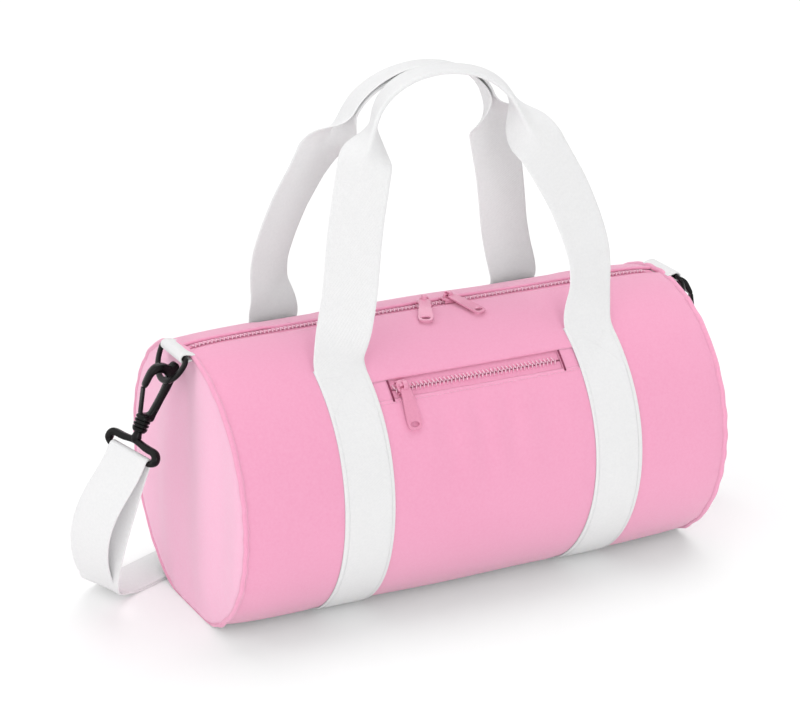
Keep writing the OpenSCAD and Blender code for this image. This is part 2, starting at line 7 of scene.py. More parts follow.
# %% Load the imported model
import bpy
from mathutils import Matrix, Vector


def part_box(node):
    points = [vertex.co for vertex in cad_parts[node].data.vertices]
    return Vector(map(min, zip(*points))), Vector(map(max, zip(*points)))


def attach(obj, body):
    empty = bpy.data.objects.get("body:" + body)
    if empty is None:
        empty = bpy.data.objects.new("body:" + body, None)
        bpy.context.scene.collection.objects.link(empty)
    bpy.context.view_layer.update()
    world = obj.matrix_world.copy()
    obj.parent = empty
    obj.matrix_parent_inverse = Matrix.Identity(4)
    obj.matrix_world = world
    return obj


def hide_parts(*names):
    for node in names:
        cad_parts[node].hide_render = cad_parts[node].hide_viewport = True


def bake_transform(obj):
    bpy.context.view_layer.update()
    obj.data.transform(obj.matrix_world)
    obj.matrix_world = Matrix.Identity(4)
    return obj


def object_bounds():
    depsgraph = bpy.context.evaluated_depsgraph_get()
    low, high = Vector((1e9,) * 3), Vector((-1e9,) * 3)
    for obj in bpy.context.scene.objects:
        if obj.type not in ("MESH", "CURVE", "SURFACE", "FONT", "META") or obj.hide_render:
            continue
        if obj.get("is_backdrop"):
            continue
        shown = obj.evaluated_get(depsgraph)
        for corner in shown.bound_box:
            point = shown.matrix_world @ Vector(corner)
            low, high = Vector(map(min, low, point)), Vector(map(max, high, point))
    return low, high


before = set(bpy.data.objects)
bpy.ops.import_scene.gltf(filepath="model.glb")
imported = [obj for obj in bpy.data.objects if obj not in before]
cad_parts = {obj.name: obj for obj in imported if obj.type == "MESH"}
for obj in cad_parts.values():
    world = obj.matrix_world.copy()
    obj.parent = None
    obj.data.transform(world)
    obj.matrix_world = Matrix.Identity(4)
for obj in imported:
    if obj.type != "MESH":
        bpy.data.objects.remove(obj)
cad_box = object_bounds()
print("The packed model has", len(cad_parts), "solids")

# %% The tools of this lesson
import math
import bmesh
import bpy
import numpy as np
from mathutils import Matrix, Vector

mm = 0.001
left, right = -1, 1
side_names = {left: "left", right: "right"}

# %% [markdown]
# ## Sizes
# The driving sizes are read from the boxes of the CAD solids, so the dressing follows the model.
# A place round the barrel is an angle in degrees: 0 is the front, 90 the top, -90 the bottom.

# %% Sizes of the barrel and of the webbing
bag_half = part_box("right_end_panel")[1].x
bag_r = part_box("barrel_panel")[1].y
axis_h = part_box("right_end_panel")[1].z - bag_r
band_low, band_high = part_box("right_band")
band_x = (band_low.x + band_high.x) / 2
web_w = band_high.x - band_low.x
web_t = band_high.y - bag_r
cloth_t = 1.4 * mm
zip_half = 6 * mm
zip_edge_ang = math.degrees(math.acos(zip_half / bag_r))
pocket_ang = 45.6
pocket_low, pocket_high = 41.6, 49.6
window_half = 84 * mm
print("Barrel", round(2000 * bag_half), "mm long,", round(2000 * bag_r), "mm across")

# %% [markdown]
# ## Camera
# The camera stands where the photograph was taken from: a little to the left, above the bag, with
# a long lens. Its place and lens were fitted to the barrel's end seams, the edges of the bands,
# the floor line and the top line.

# %% Camera
view_back = Vector((-0.42043, -0.82776, 0.37153))
view_middle = Vector((0, 0, 100 * mm))
view_distance = 2.07206
lens_mm, sensor_mm = 121.636, 36
frame_shift = (-0.03739, 0.09644)

camera_data = bpy.data.cameras.new("photo_camera")
camera_data.lens = lens_mm
camera_data.sensor_width = sensor_mm
camera_data.shift_x, camera_data.shift_y = frame_shift
camera_data.clip_end = 60
camera = bpy.data.objects.new("photo_camera", camera_data)
bpy.context.scene.collection.objects.link(camera)
camera.location = view_middle + view_distance * view_back
camera.rotation_euler = (-view_back).to_track_quat("-Z", "Y").to_euler()
bpy.context.scene.camera = camera
print("Camera at", [round(c, 3) for c in camera.location])

# %% [markdown]
# ## Light and floor
# A broad sun with a soft edge shines from above and a little behind, which lays the shadow in
# front of the bag. Two low suns light the left end and the front, and the white world fills the
# rest. Rays that show the background see a pure white world, brighter than the one that lights
# the bag. The floor is a white sheet, and a share of its brightness is seen by those rays alone,
# which makes it pure white but keeps the bag's soft shadow on it.

# %% Rays that show the background


def math_node(tree, operation, first, second=None, third=None):
    """One step of arithmetic between sockets or numbers."""
    node = tree.nodes.new("ShaderNodeMath")
    node.operation = operation
    for socket, value in zip(node.inputs, (first, second, third)):
        if value is None:
            continue
        if isinstance(value, (int, float)):
            socket.default_value = value
        else:
            tree.links.new(value, socket)
    return node.outputs[0]


def background_rays(tree):
    """1 for the rays that show the background, which are camera, gloss and glass rays, and 0 for
    those that light the bag."""
    kind = tree.nodes.new("ShaderNodeLightPath")
    either = math_node(tree, "MAXIMUM", kind.outputs["Is Camera Ray"],
                       kind.outputs["Is Glossy Ray"])
    return math_node(tree, "MAXIMUM", either, kind.outputs["Is Transmission Ray"])


# %% World and lamps
scene = bpy.context.scene
scene.view_settings.view_transform = "Standard"
world_strength = 0.48
top_strength, top_spread = 1.15, 60
front_strength, front_spread = 0.67, 24
left_strength, left_spread = 1.2, 100

world = bpy.data.worlds.new("studio_white")
scene.world = world
world.use_nodes = True
nodes, links = world.node_tree.nodes, world.node_tree.links
nodes.clear()
seen = nodes.new("ShaderNodeBackground")
lighting = nodes.new("ShaderNodeBackground")
lighting.inputs["Strength"].default_value = world_strength
for background in (seen, lighting):
    background.inputs["Color"].default_value = (1, 1, 1, 1)
chosen = nodes.new("ShaderNodeMixShader")
links.new(background_rays(world.node_tree), chosen.inputs[0])
links.new(lighting.outputs[0], chosen.inputs[1])
links.new(seen.outputs[0], chosen.inputs[2])
links.new(chosen.outputs[0], nodes.new("ShaderNodeOutputWorld").inputs["Surface"])


def sun(name, direction, strength, spread):
    """A distant lamp shining along a direction. Its spread in degrees softens the shadows."""
    data = bpy.data.lights.new(name, "SUN")
    data.energy = strength
    data.angle = math.radians(spread)
    lamp = bpy.data.objects.new(name, data)
    scene.collection.objects.link(lamp)
    lamp.rotation_euler = Vector(direction).to_track_quat("-Z", "Y").to_euler()
    return lamp


sun("top_light", (-0.25, -0.25, -0.93), top_strength, top_spread)
sun("front_light", (0.1, 0.97, -0.22), front_strength, front_spread)
sun("left_light", (0.93, 0.15, -0.33), left_strength, left_spread)
print("World", world_strength, "and three soft suns")

# %% Floor
floor_half = 30
floor_grey = 0.96
floor_glow = 0.1
floor_mesh = bpy.data.meshes.new("floor")
corners = floor_half * np.array([[-1, -1, 0], [1, -1, 0], [1, 1, 0], [-1, 1, 0]], float)
floor_mesh.from_pydata(corners.tolist(), [], [[0, 1, 2, 3]])
floor = bpy.data.objects.new("floor", floor_mesh)
scene.collection.objects.link(floor)
paper = bpy.data.materials.new("floor_paper")
paper.use_nodes = True
nodes, links = paper.node_tree.nodes, paper.node_tree.links
nodes.clear()
matt = nodes.new("ShaderNodeBsdfDiffuse")
matt.inputs["Color"].default_value = (floor_grey, floor_grey, floor_grey, 1)
glow = nodes.new("ShaderNodeEmission")
share = math_node(paper.node_tree, "MULTIPLY", background_rays(paper.node_tree), floor_glow)
links.new(share, glow.inputs["Strength"])
both = nodes.new("ShaderNodeAddShader")
links.new(matt.outputs[0], both.inputs[0])
links.new(glow.outputs[0], both.inputs[1])
links.new(both.outputs[0], nodes.new("ShaderNodeOutputMaterial").inputs["Surface"])
floor_mesh.materials.append(paper)
floor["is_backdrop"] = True
print("Floor", 2 * floor_half, "m wide")

# %% [markdown]
# ## Materials
# Cloth and webbing are woven: two sine waves across each other stand for the threads that pass
# over and under, and they tilt the surface a little (Bump) instead of being modelled. The same
# waves paint the threads on top lighter and the pores between them darker: painted light and
# shade. The waves read each piece's own UV map, which is laid out in metres along and across the
# threads, so the weave follows every bend. Slow noise on Object coordinates varies the dye and the
# roughness.

# %% Node helpers


def rgb(red, green, blue):
    """A colour in the 0 to 255 steps of a screen, as the linear light that shaders count in."""
    screen = np.array([red, green, blue]) / 255
    linear = np.where(screen <= 0.04045, screen / 12.92, ((screen + 0.055) / 1.055) ** 2.4)
    return (*linear.tolist(), 1.0)


def thread_wave(tree, coordinate, pitch):
    """The sine of a coordinate that runs through one turn in each thread pitch."""
    turns = math_node(tree, "MULTIPLY", coordinate, 2 * math.pi / pitch)
    return math_node(tree, "SINE", turns)


def finish_nodes(name, roughness):
    """A new material with an empty Principled shader of the given roughness."""
    material = bpy.data.materials.new(name)
    material.use_nodes = True
    tree = material.node_tree
    shader = tree.nodes["Principled BSDF"]
    shader.inputs["Roughness"].default_value = roughness
    return material, tree, shader


def slow_noise(tree, scale, detail=3):
    """Smooth cloudy noise on Object coordinates, from 0 to 1."""
    place = tree.nodes.new("ShaderNodeTexCoord")
    noise = tree.nodes.new("ShaderNodeTexNoise")
    noise.inputs["Scale"].default_value = scale
    noise.inputs["Detail"].default_value = detail
    tree.links.new(place.outputs["Object"], noise.inputs["Vector"])
    return noise.outputs["Fac"]


def mixed_colour(tree, factor, low, high):
    """A colour that runs from low to high with a factor between 0 and 1."""
    mix = tree.nodes.new("ShaderNodeMix")
    mix.data_type = "RGBA"
    tree.links.new(factor, mix.inputs["Factor"])
    mix.inputs[6].default_value = low
    mix.inputs[7].default_value = high
    return mix.outputs[2]


def raised(tree, shader, height, distance, strength=1.0):
    """Tilts the shading by a height between 0 and 1, which stands for a real distance."""
    bump = tree.nodes.new("ShaderNodeBump")
    bump.inputs["Strength"].default_value = strength
    bump.inputs["Distance"].default_value = distance
    tree.links.new(height, bump.inputs["Height"])
    tree.links.new(bump.outputs["Normal"], shader.inputs["Normal"])


def varied_roughness(tree, shader, noise, roughness, spread):
    """Roughness that follows a noise, half its spread below and above the given value."""
    rough = math_node(tree, "MULTIPLY_ADD", noise, spread, roughness - spread / 2)
    tree.links.new(rough, shader.inputs["Roughness"])


# %% Woven materials
# Shares of the dye: random cloud and fibre tone, and the weave's painted light and shade.
cloud_share, weave_light_and_shade_share, fibre_share = 0.3, 0.15, 0.55


def woven(name, thread, shade, pitch, cross_pitch, depth, sheen, roughness=0.85, bleed=1.0):
    """Cloth of crossing threads: the product of two thread waves makes the over and under of a
    plain weave, and it paints the threads on top lighter and the pores between them darker:
    painted light and shade. Bleed is the share of its colour that the cloth passes on to the
    white floor and webbing near it."""
    material, tree, shader = finish_nodes(name, roughness)
    shader.inputs["Sheen Weight"].default_value = sheen
    shader.inputs["Sheen Roughness"].default_value = 0.5
    shader.inputs["Specular IOR Level"].default_value = 0.25
    uv = tree.nodes.new("ShaderNodeUVMap")
    axes = tree.nodes.new("ShaderNodeSeparateXYZ")
    tree.links.new(uv.outputs["UV"], axes.inputs[0])
    warp = thread_wave(tree, axes.outputs["X"], pitch)
    weft = thread_wave(tree, axes.outputs["Y"], cross_pitch)
    weave = math_node(tree, "MULTIPLY", warp, weft)
    height = math_node(tree, "MULTIPLY_ADD", weave, 0.5, 0.5)
    cloud = slow_noise(tree, 9)
    fibre = slow_noise(tree, 520, 2)
    # Painted light and shade: the weave's height lightens the thread tops and darkens the pores.
    dye = math_node(tree, "MULTIPLY", cloud, cloud_share)
    for part, part_share in ((height, weave_light_and_shade_share), (fibre, fibre_share)):
        dye = math_node(tree, "ADD", dye, math_node(tree, "MULTIPLY", part, part_share))
    colour = mixed_colour(tree, dye, shade, thread)
    if bleed < 1:
        grey = (*[0.7 * sum(shade[:3]) / 3 + 0.3 * max(shade[:3])] * 3, 1)
        passed_on = tree.nodes.new("ShaderNodeLightPath").outputs["Is Diffuse Ray"]
        faded = math_node(tree, "MULTIPLY", passed_on, 1 - bleed)
        neutral = mixed_colour(tree, faded, shade, grey)
        tree.links.new(colour, neutral.node.inputs[6])
        colour = neutral
    tree.links.new(colour, shader.inputs["Base Color"])
    surface = math_node(tree, "ADD", height, math_node(tree, "MULTIPLY", fibre, 0.6))
    raised(tree, shader, surface, depth)
    varied_roughness(tree, shader, cloud, roughness, 0.12)
    return material


pink_cloth = woven("pink_cloth", rgb(250, 180, 209), rgb(242, 154, 190), 0.95 * mm, 0.95 * mm,
                   0.07 * mm, 0.42, bleed=0.1)
# Painted light: the end panels get a paler copy of the pink cloth, for the brighter light on the
# ends.
end_cloth_painted_light = woven("end_cloth_painted_light", rgb(255, 205, 228), rgb(254, 182, 213), 0.95 * mm, 0.95 * mm,
                  0.07 * mm, 0.3, bleed=0.5)
pink_tape = woven("zip_tape", rgb(249, 178, 206), rgb(238, 148, 184), 0.8 * mm, 0.8 * mm,
                  0.06 * mm, 0.1)
lining_cloth = woven("lining_cloth", rgb(240, 170, 198), rgb(225, 140, 176), 0.7 * mm, 0.7 * mm,
                     0.04 * mm, 0.1)
webbing = woven("webbing", rgb(246, 246, 246), rgb(231, 231, 232), 2.4 * mm, 1.1 * mm,
                0.14 * mm, 0.1, 0.8)
print("Woven materials: cloth, zip tape, lining, webbing")

# %% [markdown]
# Thread, painted metal and moulded plastic have no weave. Fine noise gives the thread its fuzz,
# the paint its orange-peel and the plastic the dull grain of its mould.

# %% Thread, paint and plastic


def grained(name, colour, shade, grain, depth, roughness, coat=0.0, gloss=0.5):
    """A surface with fine grain: noise of the given scale varies its colour and height, and a
    slower noise its roughness."""
    material, tree, shader = finish_nodes(name, roughness)
    shader.inputs["Coat Weight"].default_value = coat
    shader.inputs["Specular IOR Level"].default_value = gloss
    speck = slow_noise(tree, grain, 4)
    tree.links.new(mixed_colour(tree, speck, shade, colour), shader.inputs["Base Color"])
    raised(tree, shader, speck, depth)
    varied_roughness(tree, shader, slow_noise(tree, grain / 12), roughness, 0.16)
    return material


white_thread = grained("white_thread", rgb(250, 250, 250), rgb(226, 226, 228), 2500, 0.1 * mm, 0.7)
pink_thread = grained("pink_thread", rgb(250, 200, 220), rgb(240, 170, 198), 2500, 0.1 * mm, 0.7)
dark_thread = grained("bartack_thread", rgb(172, 74, 110), rgb(140, 52, 88), 2500, 0.1 * mm, 0.7)
zip_teeth_plastic = grained("zip_teeth", rgb(248, 204, 221), rgb(238, 180, 203), 1500,
                            0.03 * mm, 0.38, 0.2)
painted_metal = grained("zip_metal", rgb(238, 158, 188), rgb(222, 136, 168), 700, 0.03 * mm,
                        0.34, 0.35)
black_plastic = grained("black_plastic", rgb(10, 8, 9), rgb(4, 3, 4), 1200, 0.06 * mm, 0.26,
                        0.03, gloss=0.16)
print("Plain materials:", len(bpy.data.materials))

# %% [markdown]
# ## From formulas to meshes
# Every new piece is a grid of points, rows by columns, computed as one array. These helpers join
# the grid into four-sided faces, close the ends of a tube, and keep the UV map in metres.

# %% Mesh helpers


def grid_faces(rows, cols, wrap=False):
    """The four corners of each face of a grid; wrap joins the last column to the first."""
    r, c = np.meshgrid(np.arange(rows - 1), np.arange(cols if wrap else cols - 1), indexing="ij")
    d = (c + 1) % cols
    return np.stack([r * cols + c, (r + 1) * cols + c, (r + 1) * cols + d, r * cols + d],
                    -1).reshape(-1, 4)


def new_piece(name, points, faces, material, uv=None, closed=False):
    """A smooth mesh object from points and faces, with sharp edges round its end caps. A closed
    one has its normals turned outwards."""
    mesh = bpy.data.meshes.new(name)
    mesh.from_pydata(np.reshape(points, (-1, 3)).tolist(), [], faces)
    if uv is not None:
        corner_points = np.zeros(len(mesh.loops), int)
        mesh.loops.foreach_get("vertex_index", corner_points)
        layer = mesh.uv_layers.new(name="UVMap")
        layer.data.foreach_set("uv", np.reshape(uv, (-1, 2))[corner_points].ravel())
    if closed:
        work = bmesh.new()
        work.from_mesh(mesh)
        bmesh.ops.recalc_face_normals(work, faces=work.faces)
        work.to_mesh(mesh)
        work.free()
    mesh.polygons.foreach_set("use_smooth", np.ones(len(mesh.polygons), bool))
    mesh.set_sharp_from_angle(angle=math.radians(70))
    mesh.materials.append(material)
    piece = bpy.data.objects.new(name, mesh)
    scene.collection.objects.link(piece)
    return piece


def tube_faces(rows, cols, start=0, ring=False):
    """Faces of a tube whose points begin at start. Its ends are capped, or joined in a ring."""
    if ring:
        return (grid_faces(rows + 1, cols, True) % (rows * cols) + start).tolist()
    caps = [[start + k for k in range(cols)], [start + (rows - 1) * cols + k for k in range(cols)]]
    return (grid_faces(rows, cols, True) + start).tolist() + caps


def tube_piece(name, points, material, uv=None, ring=False):
    """A tube whose rows are closed sections."""
    faces = tube_faces(points.shape[0], points.shape[1], ring=ring)
    return new_piece(name, points, faces, material, uv, True)


def rods_piece(name, points, material):
    """Many short rods in one mesh. The points run by rod, by ring and round the ring."""
    count, rings, cols = points.shape[:3]
    starts = rings * cols * np.arange(count)[:, None]
    faces = (grid_faces(rings, cols, True)[None] + starts[:, None]).reshape(-1, 4).tolist()
    first = np.arange(cols)
    for cap in (first, first + (rings - 1) * cols):
        faces += (cap + starts).tolist()
    return new_piece(name, points, faces, material, closed=True)


def give_wall(piece, thick):
    """Gives a sheet its thickness, inwards from the side that shows."""
    wall = piece.modifiers.new("Cloth thickness", "SOLIDIFY")
    wall.thickness = thick
    wall.offset = -1


def on_grid(*values):
    """Coordinates spread over one grid, as its points or as its places on the UV map."""
    return np.stack(np.broadcast_arrays(*values), -1)


def finish_piece(piece, body, slot, *nodes):
    """Ties a piece to its body and hides the CAD nodes it stands for. The slot is not used."""
    if body:
        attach(piece, body)
    if nodes:
        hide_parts(*nodes)
    return piece


x_way, y_way = np.array([1.0, 0, 0]), np.array([0.0, 1, 0])


def unit(v):
    """Vectors along the last axis, brought to length 1."""
    return v / np.linalg.norm(v, axis=-1, keepdims=True)


def smooth_step(x, low, high):
    """0 below low, 1 above high, and an S-shaped rise between them."""
    t = np.clip((x - low) / (high - low), 0, 1)
    return t * t * (3 - 2 * t)


def spaced(path, step):
    """Points at even steps along a path, with the distance run at each."""
    run = np.r_[0, np.cumsum(np.linalg.norm(np.diff(path, axis=0), axis=1))]
    at = np.linspace(0, run[-1], max(2, int(round(run[-1] / step)) + 1))
    return np.stack([np.interp(at, run, path[:, k]) for k in range(path.shape[1])], -1), at


def eased(path, width, passes=3):
    """A path with its corners eased: each point becomes the mean of its neighbours, ends fixed."""
    kernel = np.ones(width) / width
    for _ in range(passes):
        padded = np.concatenate([2 * path[:1] - path[width // 2:0:-1], path,
                                 2 * path[-1:] - path[-2:-2 - width // 2:-1]])
        path = np.stack([np.convolve(padded[:, k], kernel, "valid")
                         for k in range(path.shape[1])], -1)
    return path


def eased_round(path, width):
    """A closed path with its corners eased."""
    half, kernel = width // 2, np.ones(width) / width
    padded = np.concatenate([path[-half:], path, path[:half]])
    return np.stack([np.convolve(padded[:, k], kernel, "valid") for k in range(path.shape[1])], -1)


# %% [markdown]
# ## The barrel's cloth
# The barrel is one piece of cloth rolled round and sewn at both ends, as such bags are made. It is
# drawn in towards the seams and under the bands, puckers beside the seams, lies flat on the floor,
# and has soft creases below the pocket. One formula gives the radius at any place and angle. All
# that lies on the cloth, from bands to single stitches, asks the same formula for its place.

# %% The cloth's formula
seam_draw, seam_reach = 3.6 * mm, 15 * mm
band_draw = 0.5 * mm
pucker_h, pucker_reach, pucker_count = 0.4 * mm, 10 * mm, 31
crease_h, crease_pitch = 0.62 * mm, 5.2 * mm
crease_ang, crease_half = 22, 15
floor_soft = 1.6 * mm


def band_cover(x):
    """1 under a band, falling to 0 a little outside its edges."""
    off = np.abs(np.abs(x) - band_x)
    return 1 - smooth_step(off, web_w / 2, web_w / 2 + 12 * mm)


def cloth_radius(x, a):
    """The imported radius, less the draw of the seams and bands, plus puckers beside the seams (a
    fast sine round the barrel that dies off inwards), creases below the pocket (a sine along the
    bag) and a slow swell."""
    turn = np.radians(a)
    seam = np.maximum(bag_half - np.abs(x), 0)
    near = np.exp(-seam / seam_reach)
    r = bag_r - 0.2 * mm - seam_draw * near - band_draw * band_cover(x)
    pucker = np.sin(pucker_count * turn + 2.2 * np.sin(4 * turn))
    r = r + pucker_h * np.exp(-seam / pucker_reach) * pucker
    below = np.exp(-((a - crease_ang) / crease_half) ** 2)
    below = below * (1 - smooth_step(np.abs(x), 50 * mm, window_half))
    r = r + crease_h * below * np.sin(x / crease_pitch + 1.6 * np.sin(x / (23 * mm)) + 0.9 * turn)
    low = smooth_step(-a, -30, 10)
    swell = np.sin(x / (31 * mm) + 1.4 * np.sin(1.7 * turn)) * np.cos(2.3 * turn + x / (70 * mm))
    return r + (0.15 + 0.5 * low) * mm * swell * (1 - band_cover(x)) * (1 - near)


def on_barrel(x, a, h, shape_x=None):
    """The point at place x, angle a and height h over the cloth. Below the floor's level the
    height turns softly level, as cloth does where the bag rests. shape_x reads the cloth's radius
    at another place than x."""
    x, a, h = np.broadcast_arrays(np.asarray(x, float), np.asarray(a, float),
                                  np.asarray(h, float))
    r = cloth_radius(x if shape_x is None else shape_x, a) + h
    turn = np.radians(a)
    cover = band_cover(x)
    rest = 0.2 * mm + (web_t - h) * cover
    z = axis_h + r * np.sin(turn)
    z = rest + floor_soft * np.logaddexp(0, (z - rest) / floor_soft)
    return np.stack([x, -r * np.cos(turn), z], -1)


def around(low, high, step, *exact):
    """Even values from low to high, with some exact ones and close neighbours added."""
    even = np.linspace(low, high, int(abs(high - low) / step) + 1)
    close = step / 6
    return np.unique(np.r_[even, [v for e in exact for v in (e - close, e, e + close)]])


# %% Barrel panel
edge_turn = 0.9
xs = around(-bag_half + 0.6 * mm, bag_half - 0.6 * mm, 2.1 * mm, -window_half, window_half)
angles = around(-180 - zip_edge_ang, zip_edge_ang, 1.75, pocket_low, pocket_high,
                zip_edge_ang - edge_turn, -180 - zip_edge_ang + edge_turn)
angles = angles[(angles <= zip_edge_ang) & (angles >= -180 - zip_edge_ang)][::-1]


def lip(distance, depth, reach):
    """How far a folded edge rolls under: a depth that dies off with the distance from the edge."""
    return -depth * np.exp(-np.maximum(distance, 0) / reach)


a_grid, x_grid = np.meshgrid(angles, xs, indexing="ij")
between_bands = 1 - smooth_step(np.abs(x_grid), window_half, window_half + 3 * mm)
above = np.radians(a_grid - pocket_high) * bag_r
beneath = np.radians(pocket_low - a_grid) * bag_r
raised_edge = 0.75 * mm * np.exp(-above / (9 * mm)) + lip(above, 1.5 * mm, 0.5 * mm)
height = np.where(above >= 0, raised_edge, 0) * between_bands
height += np.where(beneath >= 0, lip(beneath, 0.9 * mm, 0.8 * mm), 0) * between_bands
height = np.where((above < 0) & (beneath < 0), -0.9 * mm * between_bands, height)
front_zip = np.radians(zip_edge_ang - a_grid) * bag_r
back_zip = np.radians(a_grid + 180 + zip_edge_ang) * bag_r
height += lip(front_zip, 1.1 * mm, 0.9 * mm)
height += 0.9 * mm * np.exp(-back_zip / (5 * mm)) + lip(back_zip, 1.9 * mm, 0.7 * mm)
barrel_points = on_barrel(x_grid, a_grid, height)
faces = grid_faces(len(angles), len(xs))
middle = barrel_points.reshape(-1, 3)[faces].mean(1)
face_a = a_grid.ravel()[faces].mean(1)
window = (face_a > pocket_low) & (face_a < pocket_high) & (np.abs(middle[:, 0]) < window_half)
barrel_uv = np.stack([x_grid, np.radians(a_grid) * bag_r], -1)
barrel = new_piece("barrel_cloth", barrel_points, faces[~window].tolist(), pink_cloth, barrel_uv)
give_wall(barrel, cloth_t)
finish_piece(barrel, "bag", "pink_cloth", "barrel_panel")
print("Barrel cloth:", len(faces), "faces")

# %% [markdown]
# ## End panels and seams
# Each end is a round panel that bulges a little and hangs in soft upright folds. It meets the
# barrel in a raised ridge, where both edges are turned in and sewn, with a dark crease beside it.

# %% End panels
end_bulge = 3.2 * mm
fold_depth = 1.8 * mm
dip_depth, dip_half = 2.6 * mm, 17 * mm
dip_low, dip_high = 115 * mm, 165 * mm
rim_in = 0.9 * mm
ridge_r = 2.1 * mm
ridge_x = bag_half - 1.0 * mm


def end_panel(side):
    """A disc: rings of growing share of the rim, pushed outwards by a bulge that falls to nothing
    at the rim, with upright folds as a sine across the panel and puckers along the rim. A
    shallow dip in its upper middle leaves the clip room to swing."""
    shares = np.r_[0.015, np.linspace(0.06, 0.9, 34), 0.93, 0.955, 0.975, 0.99, 1.0]
    turns = np.linspace(-180, 180, 181)[:-1]
    share, a = np.meshgrid(shares, turns, indexing="ij")
    r = cloth_radius(side * ridge_x, a) - rim_in
    y = -share * r * np.cos(np.radians(a))
    z = axis_h + share * r * np.sin(np.radians(a))
    z = 0.2 * mm + floor_soft * np.logaddexp(0, (z - 0.2 * mm) / floor_soft)
    inner = 1 - share ** 6
    fold = np.sin(y / (10.5 * mm) + side + 0.5 * np.sin((z - axis_h) / (42 * mm)))
    soft = 0.45 + 0.55 * np.cos((z - axis_h * 0.85) / (1.1 * bag_r))
    pucker = np.sin(33 * np.radians(a) + 2 * np.sin(3 * np.radians(a)))
    out = end_bulge * (1 - share ** 2) + fold_depth * inner * fold * soft
    out += 0.45 * mm * pucker * share ** 9 * (1 - share ** 30)
    out -= 1.0 * mm * share ** 24
    clip_dip = np.exp(-(y / dip_half) ** 2) * smooth_step(z, dip_low, dip_high)
    out -= clip_dip * (dip_depth * inner + fold_depth * inner * np.maximum(fold * soft, 0))
    points = np.stack([side * (bag_half - 0.6 * mm + out), y, z], -1)
    rows, cols = share.shape
    faces = grid_faces(rows, cols, True)
    middle_cap = list(range(cols))
    if side == left:
        faces = faces[:, ::-1]
        middle_cap = middle_cap[::-1]
    uv = np.stack([y, z], -1)
    name = side_names[side] + "_end_cloth_painted_light"
    # The end panel wears the paler cloth, which is painted light.
    piece = new_piece(name, points, faces.tolist() + [middle_cap], end_cloth_painted_light, uv)
    give_wall(piece, cloth_t)
    return finish_piece(piece, "bag", "pink_cloth", side_names[side] + "_end_panel")


for side in (left, right):
    end_panel(side)
print("Two end panels, bulging", round(end_bulge / mm, 1), "mm")

# %% Seam ridges and the bindings inside


def section_loop(side, place, x_off, h_off, wobble=0.0):
    """Closed sections carried once round the barrel: offsets along the bag and over the cloth."""
    a = np.linspace(-180, 180, 361)[:-1]
    wave = wobble * np.sin(np.radians(a) * 37 + 1.5 * np.sin(np.radians(a) * 5))
    x = side * (place + x_off[None, :] + 0 * a[:, None])
    return on_barrel(x, a[:, None], h_off[None, :] + wave[:, None], shape_x=side * place)


for side in (left, right):
    around_tube = np.linspace(0, 2 * math.pi, 13)[:-1]
    loop = section_loop(side, ridge_x, ridge_r * np.cos(around_tube),
                        ridge_r * np.sin(around_tube) + 0.3 * mm, 0.25 * mm)
    run = np.arange(len(loop)) * 2 * math.pi * bag_r / len(loop)
    uv = on_grid(run[:, None], ridge_r * around_tube[None, :])
    ridge = tube_piece(side_names[side] + "_seam_ridge", loop, pink_cloth, uv, ring=True)
    finish_piece(ridge, "bag", "pink_cloth")
    flat = np.array([[-13, -2.2], [-2, -2.2], [-2, -3.4], [-13, -3.4]]) * mm
    loop = section_loop(side, bag_half, flat[:, 0], flat[:, 1])
    uv = on_grid(run[:, None], flat[None, :, 0])
    binding = tube_piece(side_names[side] + "_binding", loop, lining_cloth, uv, ring=True)
    finish_piece(binding, "bag", None, side_names[side] + "_seam_binding")
print("Seam ridges", round(2 * ridge_r / mm, 1), "mm thick")

# %% [markdown]
# ## Bands
# A band is one length of webbing sewn round the barrel from stitch line to stitch line. Its
# section is a flat strip with rounded selvedges, carried round the barrel on the cloth's formula.

# %% Bands


def strip_section(width, thick, across=9):
    """A flat strip's outline: along the top, round one edge, back along the bottom, round the
    other. The first number runs across the strip, the second through it."""
    r = thick / 2
    top = np.linspace(-width / 2 + r, width / 2 - r, across)
    bend = np.radians([60, 0, -60])
    right_edge = np.stack([width / 2 - r + r * np.cos(bend), r * np.sin(bend)], -1)
    left_edge = np.stack([-width / 2 + r - r * np.cos(bend), -r * np.sin(bend)], -1)
    return np.concatenate([np.stack([top, np.full(across, r)], -1), right_edge,
                           np.stack([top[::-1], np.full(across, -r)], -1), left_edge])


band_top_ang = 58.6
band_lift = 0.1 * mm
for side in (left, right):
    outline = strip_section(web_w, web_t)
    a = np.linspace(band_top_ang, -180 - band_top_ang, 300)
    calm = smooth_step(59 - a, 0, 40) * smooth_step(a + 239, 0, 40)
    sway = 0.5 * mm * np.sin(np.radians(a) * 3.1 + side) * calm
    x = side * band_x + sway[:, None] + outline[None, :, 0]
    points = on_barrel(x, a[:, None], outline[None, :, 1] + web_t / 2 + band_lift)
    run = np.radians(a) * bag_r
    uv = on_grid(run[:, None], outline[None, :, 0])
    band = tube_piece(side_names[side] + "_band_webbing", points, webbing, uv)
    finish_piece(band, "bag", "webbing", side_names[side] + "_band")
print("Bands", round(web_w / mm), "mm wide")

# %% [markdown]
# ## Handles
# Each handle goes on from the bands: flat webbing as it leaves the stitch line, turned a little
# on its way up, then folded in half lengthwise for the grip. The webbing's centre line is carried
# along a path. Across it the section is a line of fixed length whose direction turns at the
# middle by the fold angle, so the webbing keeps its width while it closes up.

